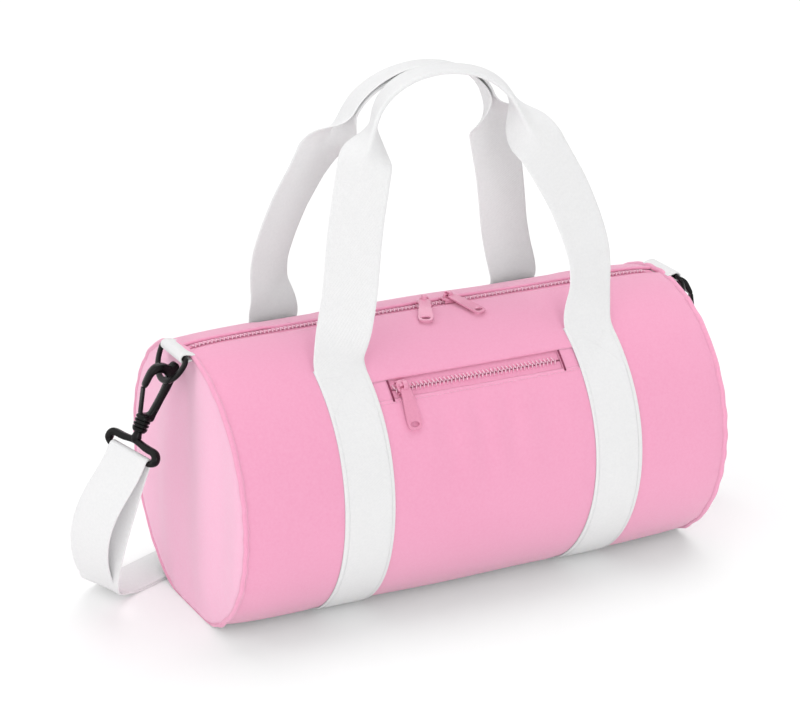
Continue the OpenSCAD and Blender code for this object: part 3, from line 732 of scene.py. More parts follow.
# %% The handles' path
hinge_r = bag_r + web_t + 0.3 * mm + web_t / 2
hinge_ang = 59
hinge = np.array([0, -hinge_r * math.cos(math.radians(hinge_ang)),
                  axis_h + hinge_r * math.sin(math.radians(hinge_ang))])
handle_h = 200 * mm
grip_reach = 19.2 * mm
handle_lean = math.asin((-hinge[1] - 0.15 * mm) / math.hypot(handle_h, grip_reach)) - math.atan2(
    grip_reach, handle_h)
leg_heights = handle_h * np.array([0.025, 0.07, 0.13, 0.25, 0.36, 0.49, 0.64, 0.745])
leg_places = band_x * np.array([1, 0.997, 0.99, 0.965, 0.92, 0.85, 0.735, 0.65])
leg_skews = 12 * mm * np.array([0, 0.25, 0.55, 0.9, 0.85, 0.7, 0.4, 0.15])
grip_base, grip_rx, grip_ry = 156 * mm, 60.3 * mm, 42.2 * mm
grip_shift = 1.2 * mm


def handle_path():
    """The webbing's middle line, at first in the handle's own plane (along the bag, up the
    handle): up the left leg, over the grip's half ellipse and down the right leg. The legs' roots
    lie on the barrel at the band's height and rise from it."""
    over = np.radians(np.linspace(176, 4, 29))
    arch = np.stack([grip_shift + grip_rx * np.cos(over), grip_base + grip_ry * np.sin(over)], -1)
    legs = [np.stack([side * leg_places + leg_skews, leg_heights], -1) for side in (left, right)]
    flat = np.concatenate([legs[0], arch, legs[1][::-1]])
    up = np.array([0, math.sin(handle_lean), math.cos(handle_lean)])
    free = hinge + flat[:, :1] * x_way + flat[:, 1:] * up
    root_angles, root_h = np.linspace(54.5, 59.2, 5), web_t / 2 + band_lift + 0.03 * mm
    roots = [on_barrel(side * band_x, root_angles, root_h) for side in (left, right)]
    path, run = spaced(np.concatenate([roots[0], free, roots[1][::-1]]), 2 * mm)
    return eased(path, 7), run


path, run = handle_path()
print("Handle webbing", round(run[-1] / mm), "mm long, leaning",
      round(math.degrees(handle_lean), 1), "degrees")

# %% The handles' folded webbing
fold_half_width = 1.7 * mm
grip_fold = math.radians(88)
grip_centred = 0.35
leg_low, leg_high = 4 * mm, 30 * mm
fold_low, fold_high = 134 * mm, 172 * mm
roll_from, roll_to = 5 * mm, 62 * mm


def handle_webbing(name, turned, twists, fades, grip_roll):
    """Sections of the webbing along the path. Their direction at a place w across is the twist
    plus the fold angle times a smooth sign of w; adding up these directions gives the section.
    A roll of 0 closes both halves alike, and -1 folds the inner half over the outer one. The
    twist of each leg fades out between two heights."""
    height = (path - hinge) @ np.array([0, math.sin(handle_lean), math.cos(handle_lean)])
    along = unit(np.gradient(path, axis=0))
    inside = unit(np.stack([along[:, 2], 0 * along[:, 0], -along[:, 0]], -1))
    leg = smooth_step(height, leg_low, leg_high)
    side_sign = np.sign(path[:, 0] - grip_shift)
    flat = 1 - np.where(side_sign < 0, smooth_step(height, fades[0][0] * mm, fades[0][1] * mm),
                        smooth_step(height, fades[1][0] * mm, fades[1][1] * mm))
    root = x_way * -side_sign[:, None]
    inside = root * (1 - leg[:, None]) + inside * leg[:, None]
    inside = unit(inside - (inside * along).sum(1, keepdims=True) * along)
    inward = np.cross(along, inside)
    fold = grip_fold * smooth_step(height, fold_low, fold_high)
    twist = np.radians(np.where(side_sign < 0, twists[0], twists[1]))
    left_share = 1 - smooth_step(path[:, 0], roll_from, roll_to)
    roll = grip_roll[0] * left_share + grip_roll[1] * (1 - left_share)
    turn = twist * leg * flat - roll * fold
    half = np.r_[np.linspace(0, 3, 7)[1:], np.linspace(4.5, web_w / mm / 2 - 0.8, 9)] * mm
    w = np.r_[-half[::-1], 0, half]
    heading = turn[:, None] + fold[:, None] * np.tanh(1.6 * w / fold_half_width)[None, :]
    steps = np.diff(w)
    mid = (heading[:, 1:] + heading[:, :-1]) / 2
    line = np.stack([np.cos(mid), np.sin(mid)], -1) * steps[None, :, None]
    line = np.concatenate([np.zeros((len(path), 1, 2)), np.cumsum(line, 1)], 1)
    line = line - line[:, len(half)][:, None]
    pulled_in = fold * abs(grip_roll[1]) * (1 - left_share) * grip_centred
    line = line - pulled_in[:, None, None] * line.mean(1, keepdims=True)
    normal = np.stack([-np.sin(heading), np.cos(heading)], -1)
    reach = np.stack([np.cos(heading), np.sin(heading)], -1)
    top, low = line + normal * web_t / 2, line - normal * web_t / 2
    ends = (line[:, :1] - reach[:, :1] * web_t / 2, line[:, -1:] + reach[:, -1:] * web_t / 2)
    loop = np.concatenate([top, ends[1], low[:, ::-1], ends[0]], 1)
    points = (path[:, None] + loop[..., :1] * inside[:, None] + loop[..., 1:] * inward[:, None])
    if turned:
        points = points * np.array([-1, -1, 1])
    across = np.r_[w, w[-1], w[::-1], w[0]]
    uv = on_grid(run[:, None], across[None, :])
    return tube_piece(name, points, webbing, uv)


front_handle = handle_webbing("front_handle_webbing", False, (-24, -10), ((165, 198), (120, 165)),
                              (0.0, -0.2))
back_handle = handle_webbing("back_handle_webbing", True, (-2, -22), ((165, 198), (115, 168)),
                             (0.0, 0.05))
for handle, name, facing in ((front_handle, "front_handle", 1), (back_handle, "back_handle", -1)):
    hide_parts(name)
    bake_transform(handle)
print("Two handles with folded grips")

# %% [markdown]
# ## Zips
# A zip is two tapes with rows of teeth that interlock. Here each tooth is a small slanted bar
# with rounded ends, and the two rows lean towards each other, which gives the chain its pattern.
# Both zips are worked out in a flat frame: along the zip, across it, and out of the cloth. The
# main zip sinks with the cloth towards the end seams.

# %% Zip frames
tooth_pitch = 3.2 * mm
tooth_l, tooth_slant = 3.7 * mm, 0.42
tooth_off, tooth_lift = 1.3 * mm, 1.0 * mm
tooth_half_wide, tooth_half_high = 0.62 * mm, 0.85 * mm
tape_t, tape_gap = 0.8 * mm, 0.6 * mm
main_tape_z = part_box("main_zip_tape_front")[1].z + 0.5 * mm
pocket_r = 106.94 * mm
pocket_turn = math.radians(pocket_ang)
zip_frames = {
    "main": (np.array([0, 0, main_tape_z]), np.array([0, 1, 0]), np.array([0, 0, 1])),
    "pocket": (np.array([0, -pocket_r * math.cos(pocket_turn),
                         axis_h + pocket_r * math.sin(pocket_turn)]),
               np.array([0, math.sin(pocket_turn), math.cos(pocket_turn)]),
               np.array([0, -math.cos(pocket_turn), math.sin(pocket_turn)])),
}


def in_zip(kind, points):
    """Points of a zip's flat frame, placed on the bag."""
    origin, across, out = zip_frames[kind]
    points = np.asarray(points, float)
    x, y, z = points[..., :1], points[..., 1:2], points[..., 2:]
    if kind == "main":
        seam = np.maximum(bag_half - np.abs(x), 0)
        z = z - seam_draw * np.exp(-seam / seam_reach) - 0.6 * mm * np.exp(-seam / (5 * mm))
    return origin + x * x_way + y * across + z * out


def zip_tape(kind, name, half_length, width, side, node):
    """A flat strip beside the chain."""
    outline = strip_section(width - tape_gap, tape_t, 7)
    x = np.linspace(-half_length, half_length, 120)[:, None]
    y = side * (tape_gap + (width - tape_gap) / 2) + outline[None, :, 0]
    z = outline[None, :, 1] - tape_t / 2
    piece = tube_piece(name, in_zip(kind, on_grid(x, y, z)), pink_tape, on_grid(x, y))
    return finish_piece(piece, "bag", "zip_tape", node)


def zip_teeth(kind, name, half_length, side, node):
    """Each tooth is a rod of a few rings, slanted across the chain, its thickness following a
    half ellipse. The tooth's rings are set once and moved along the zip by the pitch."""
    count = int((2 * half_length - tooth_pitch) / tooth_pitch)
    start = -half_length + tooth_pitch * (0.5 if side > 0 else 1.0)
    centres = start + tooth_pitch * np.arange(count)
    t = np.array([-1, -0.85, -0.3, 0.4, 0.85, 1])
    thick = np.array([0.25, 0.75, 0.9, 1, 0.8, 0.3])
    round_it = np.linspace(0, 2 * math.pi, 7)[:-1]
    y = side * (tooth_off - t * tooth_l / 2)
    x = tooth_slant * t * tooth_l / 2
    ring_x = tooth_half_wide * thick[:, None] * np.cos(round_it)
    ring_z = tooth_half_high * thick[:, None] * np.sin(round_it) + tooth_lift
    one = np.stack([x[:, None] + ring_x, y[:, None] + 0 * ring_x, ring_z], -1)
    points = one[None] + np.stack([centres, 0 * centres, 0 * centres], -1)[:, None, None]
    piece = rods_piece(name, in_zip(kind, points), zip_teeth_plastic)
    return finish_piece(piece, "bag", "zip_teeth", node)


# %% Tapes and teeth
main_half = bag_half - 3.5 * mm
pocket_half = 70 * mm
for side, main_word, pocket_word in ((left, "front", "lower"), (right, "back", "upper")):
    zip_tape("main", "main_tape_" + main_word, main_half, 14 * mm, side,
             "main_zip_tape_" + main_word)
    zip_teeth("main", "main_teeth_" + main_word, main_half - 3 * mm, side,
              "main_zip_teeth_" + main_word)
    zip_tape("pocket", "pocket_tape_" + pocket_word, pocket_half, 13.4 * mm, side,
             "pocket_zip_tape_" + pocket_word)
    zip_teeth("pocket", "pocket_teeth_" + pocket_word, pocket_half - 1 * mm, side,
              "pocket_zip_teeth_" + pocket_word)
print("Zips with", round(2 * main_half / tooth_pitch), "and", round(2 * pocket_half / tooth_pitch),
      "teeth a side")

# %% Pocket tabs and lining


def patch(name, x_low, x_high, a_low, a_high, height, thick, material):
    """A cloth patch on the barrel: a grid over place and angle, with a wall."""
    a, x = np.meshgrid(np.linspace(a_high, a_low, 12), np.linspace(x_low, x_high, 16),
                       indexing="ij")
    points = on_barrel(x, a, height)
    uv = np.stack([x, np.radians(a) * bag_r], -1)
    piece = new_piece(name, points, grid_faces(12, 16).tolist(), material, uv)
    give_wall(piece, thick)
    return piece


for side in (left, right):
    ends = sorted((side * pocket_half, side * (window_half + 1 * mm)))
    tab = patch("pocket_tab_" + side_names[side], ends[0], ends[1], pocket_low - 0.5,
                pocket_high + 0.5, -0.9 * mm, 1.0 * mm, pink_cloth)
    finish_piece(tab, "bag", "pink_cloth", "pocket_zip_tab_" + side_names[side])

pouch_high, pouch_low, pouch_steps = 56, -30, 40
pouch_front, pouch_back = -4.2, -12.0
pouch_angles = np.linspace(pouch_high, pouch_low, pouch_steps)
pouch_a = np.r_[pouch_angles, pouch_angles[::-1]]
pouch_h = np.r_[np.full(pouch_steps, pouch_front), np.full(pouch_steps, pouch_back)] * mm
pouch_x = np.linspace(-82, 82, pouch_steps) * mm
pouch_points = on_barrel(pouch_x[:, None], pouch_a[None, :], pouch_h[None, :])
pouch_run = np.radians(pouch_a)[None, :] * bag_r
pouch_uv = on_grid(pouch_x[:, None], pouch_run)
pouch = tube_piece("pocket_pouch", pouch_points, lining_cloth, pouch_uv)
finish_piece(pouch, "bag", "lining_cloth", "pocket_lining")
print("Pocket tabs and pouch")

# %% [markdown]
# ## Sliders and pulls
# The sliders are cast metal painted pink. The plate is a rounded slab, the bridge is a bar bent
# over it, and the pull is a flat plate with an oval hole, hung on the bridge by an eye. The plate
# with its hole is a ring: it is stretched from the hole's outline to the outer one.

# %% Slider and pull shapes


def rounded_box_outline(half_x, half_y, corner, count=48):
    """The outline of a rectangle with round corners, as a superellipse of a high power."""
    power = 2 / corner
    t = np.linspace(0, 2 * math.pi, count + 1)[:-1]
    c, s = np.cos(t), np.sin(t)
    return np.stack([half_x * np.sign(c) * np.abs(c) ** power,
                     half_y * np.sign(s) * np.abs(s) ** power], -1)


def slab(outline, low, high, edge):
    """A slab with rounded edges: its outline at four levels, pulled in at the bottom and top."""
    size = np.abs(outline).max(0)
    rows = []
    for z, pull in ((low, edge), (low + edge, 0), (high - edge, 0), (high, edge)):
        flat = outline * (1 - pull / size)
        rows.append(np.concatenate([flat, np.full((len(flat), 1), z)], 1))
    return np.stack(rows)


def carried(path, section, side_way):
    """A small closed section carried along a path, its first axis kept to one side way."""
    along = unit(np.gradient(path, axis=0))
    side = unit(side_way - (along @ side_way)[:, None] * along)
    face = np.cross(along, side)
    return (path[:, None] + section[None, :, :1] * side[:, None]
            + section[None, :, 1:] * face[:, None])


def carried_round(path, section, flat_way):
    """A closed section carried round a closed flat path, its second axis square to the path's
    plane. The section may differ from place to place."""
    along = unit(np.roll(path, -1, 0) - np.roll(path, 1, 0))
    out = np.cross(along, flat_way)
    return path[:, None] + section[..., :1] * out[:, None] + section[..., 1:] * flat_way


def joined_piece(name, parts, material):
    """One mesh of several tubes. Each part is its rows of sections and whether it is a ring."""
    points, faces, start = [], [], 0
    for part, ring in parts:
        faces += tube_faces(part.shape[0], part.shape[1], start, ring)
        points.append(part.reshape(-1, 3))
        start += part.shape[0] * part.shape[1]
    return new_piece(name, np.concatenate(points), faces, material, closed=True)


plate_z, plate_t, bridge_z = 2.6 * mm, 1.8 * mm, 7.0 * mm
hole_rx, hole_ry, hole_y = 3.5 * mm, 2.1 * mm, -30.3 * mm


def slider_piece(kind, name, x, body, node):
    """Top plate, two side flanges that guide the teeth, and the bridge over the plate."""
    plate_outline = rounded_box_outline(5 * mm, 5.3 * mm, 3.2)
    parts = [slab(plate_outline, plate_z, plate_z + plate_t, 0.5 * mm)]
    for side in (left, right):
        flange = slab(rounded_box_outline(4.6 * mm, 0.55 * mm, 4, 24), 0.35 * mm,
                      plate_z + 0.3 * mm, 0.2 * mm)
        parts.append(flange + np.array([0, side * 4.7 * mm, 0]))
    t = np.linspace(0, math.pi, 21)
    bar = np.stack([-3.4 * mm * np.sign(np.cos(t)) * np.abs(np.cos(t)) ** 0.5, 0 * t,
                    plate_z + plate_t - 0.3 * mm + 3.0 * mm * np.sin(t) ** 0.6], -1)
    section = rounded_box_outline(1.2 * mm, 0.75 * mm, 3, 12)
    parts.append(carried(bar, section, y_way))
    placed = [(in_zip(kind, part + np.array([x, 0, 0])), False) for part in parts]
    return finish_piece(joined_piece(name, placed, painted_metal), body, "zip_metal", node)


def pull_piece(kind, name, x, yaw, dip, body, node):
    """The pull in its own frame, reaching to -y from the bar at the origin, then dipped and
    turned. Its plate is stretched between the hole's oval and the outer outline."""
    count = 48
    t = np.linspace(0, 2 * math.pi, count + 1)[:-1]
    hole = np.stack([hole_rx * np.cos(t), hole_y + hole_ry * np.sin(t)], -1)
    c, s = np.cos(t), np.sin(t)
    body_half, top_y, tip_y = 5.7 * mm, -2.6 * mm, -34.4 * mm
    middle_y, half_y = (top_y + tip_y) / 2, (top_y - tip_y) / 2
    outer_y = middle_y + half_y * np.sign(s) * np.abs(s) ** 0.35
    narrow = 1 - 0.22 * smooth_step(outer_y, -32 * mm, -4 * mm)
    outer = np.stack([body_half * narrow * np.sign(c) * np.abs(c) ** 0.35, outer_y], -1)
    rim = np.array([[0, 0.30], [0.04, 0.6], [0.5, 0.5], [0.955, 0.62], [1, 0.3], [1, -0.3],
                    [0.955, -0.62], [0.5, -0.5], [0.04, -0.6], [0, -0.3]])
    flat = hole[None] + rim[:, :1, None] * (outer - hole)[None]
    plate = np.concatenate([flat, np.broadcast_to(rim[:, 1:, None] * mm * 1.1,
                                                  (len(rim), count, 1))], -1)
    plate = plate.transpose(1, 0, 2)
    turn = np.linspace(0, 2 * math.pi, 25)[:-1]
    eye_path = np.stack([0 * turn, -1 * mm + 2.9 * mm * np.cos(turn), 2.1 * mm * np.sin(turn)], -1)
    eye = carried_round(eye_path, rounded_box_outline(0.5 * mm, 1.9 * mm, 3, 10), x_way)
    yawed = Matrix.Rotation(math.radians(yaw), 3, "Z")
    turned = yawed @ Matrix.Rotation(math.radians(dip), 3, "X")
    parts = [(in_zip(kind, part @ np.array(turned).T + np.array([x, 0, bridge_z])), True)
             for part in (plate, eye)]
    return finish_piece(joined_piece(name, parts, painted_metal), body, "zip_metal", node)


# %% The three sliders with their pulls
left_x, right_x, pocket_x = -5 * mm, 15 * mm, -61 * mm
pull_yaw, main_dip, pocket_dip = 24, 11.8, 12.5
slider_piece("main", "main_slider_left", left_x, "main_left_slider", "main_zip_slider_left")
slider_piece("main", "main_slider_right", right_x, "main_right_slider", "main_zip_slider_right")
slider_piece("pocket", "pocket_slider_body", pocket_x, "pocket_slider", "pocket_zip_slider")
pull_piece("main", "main_pull_left", left_x, -pull_yaw, main_dip, "main_left_pull",
           "main_zip_pull_left")
pull_piece("main", "main_pull_right", right_x, pull_yaw, main_dip, "main_right_pull",
           "main_zip_pull_right")
pull_piece("pocket", "pocket_pull_plate", pocket_x, 0, pocket_dip, "pocket_pull",
           "pocket_zip_pull")
print("Three sliders and three pulls")

# %% [markdown]
# ## Tabs, rings and clips
# At each end a short loop of webbing holds a moulded D-ring, and the strap's clip hooks into it.
# The ring is a flat bar bent into a D. The clip's hook is an outline drawn in the plane through
# the clip's own axis, given a thickness. The gate and the adjuster keep their CAD shapes: a merged
# copy gets its edges rounded by a Bevel, as a plastic moulding's are.

# %% End loops and D-rings
bar_place = np.array([206, 0, 204.5]) * mm
ring_r = 2.3 * mm
ring_half = 22.6 * mm
ring_lean = math.radians(28)


def strip_along(path, wide, width, thick, across=9):
    """A flat strip carried along a path, with a width direction at each point."""
    along = unit(np.gradient(path, axis=0))
    side = unit(wide - (wide * along).sum(1, keepdims=True) * along)
    face = np.cross(along, side)
    outline = strip_section(width, thick, across)
    points = (path[:, None] + outline[None, :, :1] * side[:, None]
              + outline[None, :, 1:] * face[:, None])
    run = np.r_[0, np.cumsum(np.linalg.norm(np.diff(path, axis=0), axis=1))]
    uv = on_grid(run[:, None], outline[None, :, 0])
    return points, uv


for side in (left, right):
    name = side_names[side]
    loop_mid = ring_r + 0.1 * mm + web_t / 2
    t = np.radians(np.linspace(95, -85, 25))
    bend = np.stack([bar_place[0] + loop_mid * np.cos(t), 0 * t,
                     bar_place[2] + loop_mid * np.sin(t)], -1)
    upper = np.array([[bag_half - 2 * mm, 0, bar_place[2] + 1.2 * mm],
                      [bag_half + 2 * mm, 0, bar_place[2] + 2.6 * mm]])
    lower = np.array([[bag_half + 2.5 * mm, 0, bar_place[2] - 2.4 * mm],
                      [bag_half - 2 * mm, 0, bar_place[2] - 1.4 * mm]])
    path, _ = spaced(np.concatenate([upper, bend, lower]), 0.7 * mm)
    path = eased(path, 3) * np.array([side, 1, 1])
    wide = np.broadcast_to(y_way, path.shape)
    points, uv = strip_along(path, wide, web_w - 2 * mm, web_t)
    tab = tube_piece(name + "_tab_webbing", points, webbing, uv)
    finish_piece(tab, "bag", "webbing", name + "_ring_tab")

    t = np.linspace(0, math.pi, 41)
    low_half = np.stack([ring_half * np.cos(t), ring_half * np.sin(t)], -1)
    bar = np.stack([np.linspace(-ring_half, ring_half, 21)[1:-1], np.zeros(19)], -1)
    ring_path = eased_round(np.concatenate([low_half, bar]), 5)
    down = np.array([math.sin(ring_lean) * side, 0, -math.cos(ring_lean)])
    thick_way = np.array([math.cos(ring_lean) * side, 0, math.sin(ring_lean)])
    ring_path = (bar_place * np.array([side, 1, 1]) + ring_path[:, :1] * y_way
                 + ring_path[:, 1:] * down)
    points = carried_round(ring_path, rounded_box_outline(2.4 * mm, 1.5 * mm, 3.4, 16), thick_way)
    ring = tube_piece(name + "_ring", points, black_plastic, ring=True)
    finish_piece(ring, name + "_ring", "black_plastic", name + "_d_ring")
print("Two end loops with D-rings")

# %% Clips, frames and adjuster


def softened(node, name, body, radius):
    """A copy of a CAD node: its triangles merged into whole faces and its edges rounded."""
    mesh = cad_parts[node].data.copy()
    mesh.name = name
    work = bmesh.new()
    work.from_mesh(mesh)
    bmesh.ops.remove_doubles(work, verts=work.verts, dist=0.001 * mm)
    bmesh.ops.dissolve_limit(work, angle_limit=math.radians(1), verts=work.verts,
                             edges=work.edges)
    work.to_mesh(mesh)
    work.free()
    mesh.polygons.foreach_set("use_smooth", np.ones(len(mesh.polygons), bool))
    mesh.materials.clear()
    mesh.materials.append(black_plastic)
    piece = bpy.data.objects.new(name, mesh)
    scene.collection.objects.link(piece)
    bevel = piece.modifiers.new("Rounded edges", "BEVEL")
    bevel.width = radius
    bevel.segments = 2
    bevel.limit_method = "ANGLE"
    bevel.angle_limit = math.radians(35)
    bevel.harden_normals = True
    return finish_piece(piece, body, "black_plastic", node)


def turned_part(profile, base, axis_way):
    """A turned body: each row is a circle, placed along an axis, with its own radius."""
    a = np.linspace(0, 2 * math.pi, 25)[:-1][None, :, None]
    spoke = np.cos(a) * y_way + np.sin(a) * np.cross(axis_way, y_way)
    profile = np.asarray(profile)[:, None, :] * mm
    return base + profile[..., :1] * axis_way + profile[..., 1:] * spoke


hook_lean = math.radians(23.8)
frame_turn = math.radians(25)
hook_place = np.array([-212.237, 0, 202.290]) * mm
frame_place = np.array([-243.512, 0, 131.381]) * mm
down_hook = np.array([-math.sin(hook_lean), 0, -math.cos(hook_lean)])
side_hook = np.array([-math.cos(hook_lean), 0, math.sin(hook_lean)])
frame_wide = math.cos(frame_turn) * y_way + math.sin(frame_turn) * side_hook
frame_thick = math.cos(frame_turn) * side_hook - math.sin(frame_turn) * y_way
hook_half = 3.2
hook_outline = np.array([
    (-7.2, 48.6), (-7.4, 45), (-8.2, 39.6), (-9.6, 30), (-10.9, 22.8), (-11.5, 16.8), (-12.1, 9),
    (-12, 5.9), (-11, 4.1), (-8.8, 3), (-6.4, 3.6), (-5.5, 5.2), (-5.2, 7), (-2.5, 6.2),
    (2.5, 6.8), (7, 9.5), (9.2, 14.4), (9.9, 21), (10.1, 26.2), (8.4, 27.8), (6.7, 25.4),
    (5.5, 17), (3, 13.5), (-1, 12.8), (-5.4, 14.8), (-6.1, 18), (-5.6, 27), (-4.3, 36),
    (-2.8, 44.6), (0, 45.8), (4.2, 45.8), (5, 47.4), (4.4, 49.4), (-4, 50.4), (-7, 50)]) * mm
collar = [(46.4, 3.4), (47, 5), (48.2, 5.9), (49.2, 5.9), (49.6, 4.7), (50.4, 4.7), (50.8, 5.9),
          (52, 5.9), (52.4, 4.7), (53.2, 4.7), (53.6, 5.9), (54.8, 5.9), (55.2, 4.7), (56, 4.7),
          (56.4, 5.8), (57.8, 5.6), (59.4, 4.8), (60, 3.9)]
hub = [(-9, 2.4), (-11, 3.4), (-13.5, 3.9), (-15.5, 3.3), (-17.2, 3), (-17.3, 1.6), (-19, 1.6)]
yoke_half = np.array([(0, 0), (10, 0), (19.2, 0), (21.6, 0.5), (23.4, 2.4), (24, 5), (23, 7.9),
                      (20.2, 9.4), (16, 9.4), (11, 9.5), (6, 10.3), (0, 11.2)])


def clip_hook(side):
    """The hook's outline at six levels, drawn in near its faces, and a ribbed collar below."""
    closed = np.concatenate([hook_outline, hook_outline[:1]])
    outline = eased_round(spaced(closed, 0.8 * mm)[0][:-1], 5)
    way = unit(np.roll(outline, -1, 0) - np.roll(outline, 1, 0))
    inwards = np.stack([-way[:, 1], way[:, 0]], -1)
    rows = []
    for level, drawn in ((-1, 0.9), (-0.93, 0.35), (-0.75, 0), (0.75, 0), (0.93, 0.35), (1, 0.9)):
        flat = outline + drawn * mm * inwards
        rows.append(hook_place + flat[:, :1] * side_hook + flat[:, 1:] * down_hook
                    + np.array([0, level * hook_half * mm, 0]))
    mirror = np.array([-side, 1, 1])
    parts = [(np.stack(rows) * mirror, False),
             (turned_part(collar, hook_place, down_hook) * mirror, False)]
    return joined_piece(side_names[side] + "_clip_hook", parts, black_plastic)


def clip_frame(side):
    """The frame as a yoke: a bar in the strap's loop, two round shoulders and an arched bar over
    them, in one closed path whose section swells at the shoulders, with a hub to the collar."""
    ring = np.concatenate([yoke_half, yoke_half[-2:0:-1] * np.array([-1, 1]), yoke_half[:1]])
    path = eased_round(spaced(ring * mm, 1 * mm)[0][:-1], 5)
    up = path[:, 1] / mm
    swell = 1 + 0.42 * smooth_step(up, 0.3, 4) - 0.22 * smooth_step(up, 8.6, 10.5)
    section = rounded_box_outline(2.1 * mm, 2.1 * mm, 2.8, 16) * swell[:, None, None]
    placed = frame_place + path[:, :1] * frame_wide - path[:, 1:] * down_hook
    mirror = np.array([-side, 1, 1])
    parts = [(carried_round(placed, section, frame_thick) * mirror, True),
             (turned_part(hub, frame_place, down_hook) * mirror, False)]
    return joined_piece(side_names[side] + "_clip_frame", parts, black_plastic)


for side in (left, right):
    name = side_names[side]
    finish_piece(clip_hook(side), name + "_hook", "black_plastic", name + "_hook_body")
    finish_piece(clip_frame(side), name + "_frame", "black_plastic", name + "_strap_frame")
    softened(name + "_hook_gate", name + "_clip_gate", name + "_gate", 0.3 * mm)
softened("strap_adjuster", "adjuster_frame", "adjuster", 0.5 * mm)
print("Clips, frames and adjuster")

# %% [markdown]
# ## Shoulder strap
# The strap is one flat length of webbing: it turns round the clip's frame, hangs down to the
# floor and runs behind the bag to the other clip. Each hanging stretch is made of three pieces
# end to end.

# %% The strap's places
strap_w = 38 * mm
loop_mid = 2.2 * mm + 0.1 * mm + web_t / 2
loop_tail = 14 * mm
land = np.array([-232, 59, 0.9]) * mm
land_turn = math.radians(24)
land_way = np.array([math.cos(land_turn), math.sin(land_turn), 0])
land_wide = np.array([-math.sin(land_turn), math.cos(land_turn), 0])
layer_z = 1.8 * mm
run_back = 114 * mm


def bezier(points, u):
    """A cubic curve through its first and last point, drawn towards the two between."""
    u = u[:, None]
    p0, p1, p2, p3 = points
    return (1 - u) ** 3 * p0 + 3 * (1 - u) ** 2 * u * p1 + 3 * (1 - u) * u ** 2 * p2 + u ** 3 * p3


tail_rows, bar_rows = 8, 25
cuts = (0, 22, 44, 80)


def drop_path(layer, lean, reach, sweep):
    """A straight tail from the frame's bar, then a curve to the floor, eased where they meet,
    with the strap's width direction at each point. Lean and reach shape the curve's top, sweep
    its foot."""
    beside = frame_place + (1 - 2 * layer) * loop_mid * frame_thick
    tail = beside + np.linspace(1 * mm, loop_tail, tail_rows)[:, None] * down_hook
    foot = land + np.array([0, 0, layer * layer_z])
    leave = np.array([-math.sin(lean), 0, -math.cos(lean)])
    u = np.linspace(0, 1, cuts[-1] + 1)
    curve = bezier([tail[-1], tail[-1] + reach * leave, foot - sweep * land_way, foot], u)
    curve = curve + 1.1 * mm * (np.sin(u * math.pi) * np.sin(u * 9))[:, None] * frame_thick
    turning = np.r_[np.zeros(tail_rows - 1), u][:, None]
    return (eased(np.concatenate([tail[:-1], curve]), 9),
            (1 - turning) * frame_wide + turning * land_wide)


def hanging_strap(side, outer, inner, words):
    """The strap as one line, up the inner layer, over the frame's bar and down the outer one. It
    is cut at shared sections into the loop and three stretches a layer. Without an inner layer
    the line starts at the loop's tail."""
    t = np.radians(np.linspace(180, 0, bar_rows))[:, None]
    over = frame_place + loop_mid * (np.cos(t) * frame_thick - np.sin(t) * down_hook)
    down_outer, wide_outer = drop_path(0, *outer)
    down_inner, wide_inner = drop_path(1, *inner)
    if len(words) == 1:
        down_inner, wide_inner = down_inner[:tail_rows], wide_inner[:tail_rows]
    mirror = np.array([-side, 1, 1])
    path = np.concatenate([down_inner[::-1], over, down_outer]) * mirror
    wide = np.concatenate([wide_inner[::-1], np.broadcast_to(frame_wide, over.shape),
                           wide_outer]) * mirror
    points, uv = strip_along(path, wide, strap_w, web_t)
    name = side_names[side]
    inner_end = len(down_inner) - tail_rows
    outer_end = len(down_inner) + bar_rows + tail_rows - 1
    part = slice(inner_end, outer_end + 1)
    loop = tube_piece(name + "_loop_webbing", points[part], webbing, uv[part])
    finish_piece(loop, name + "_frame", "webbing", name + "_strap_loop")
    for word, end, way in zip(words, (outer_end, inner_end), (1, -1)):
        for k in range(3):
            upper, lower = end + way * cuts[k], end + way * cuts[k + 1]
            part = slice(min(upper, lower), max(upper, lower) + 1)
            piece = tube_piece(name + "_strap_" + word + "_" + str(k + 1), points[part], webbing,
                               uv[part])
            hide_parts(name + "_strap_" + word)
            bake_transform(piece)


outer_shape = (math.radians(43), 66 * mm, 34 * mm)
inner_shape = (math.radians(16), 60 * mm, 50 * mm)
right_shape = (math.radians(22), 60 * mm, 26 * mm)
hanging_strap(left, outer_shape, inner_shape, ("outer", "inner"))
hanging_strap(right, right_shape, right_shape, ("drop",))
print("Hanging stretches of the strap")

# %% The run on the floor and the return layer


floor_step = 3 * mm


def floor_path():
    """From the left landing in a soft bend behind the bag, straight on, and mirrored."""
    straight = band_x * 0.8
    middle = np.array([-straight, run_back, web_t / 2])
    reach = np.linalg.norm(middle - land) / 3
    bend = bezier([land, land + reach * land_way, middle - np.array([reach, 0, 0]), middle],
                  np.linspace(0, 1, 40))
    return spaced(np.concatenate([bend, bend[::-1] * np.array([-1, 1, 1])]), floor_step)[0]


ground = floor_path()
points, uv = strip_along(ground, np.broadcast_to(y_way, ground.shape), strap_w, web_t)
floor_run = tube_piece("strap_floor_webbing", points, webbing, uv)
finish_piece(floor_run, "bag", "webbing", "strap_floor_run")

adjuster_x = -30 * mm
back_path = ground[ground[:, 0] < adjuster_x - 5 * mm] + np.array([0, 0, layer_z])
wide = np.broadcast_to(y_way, back_path.shape)
points, uv = strip_along(back_path, wide, strap_w, web_t)
back_layer = tube_piece("strap_return_webbing", points, webbing, uv)
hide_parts("strap_return")
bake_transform(back_layer)
print("Strap on the floor,", round(len(ground) * floor_step / mm), "mm long")

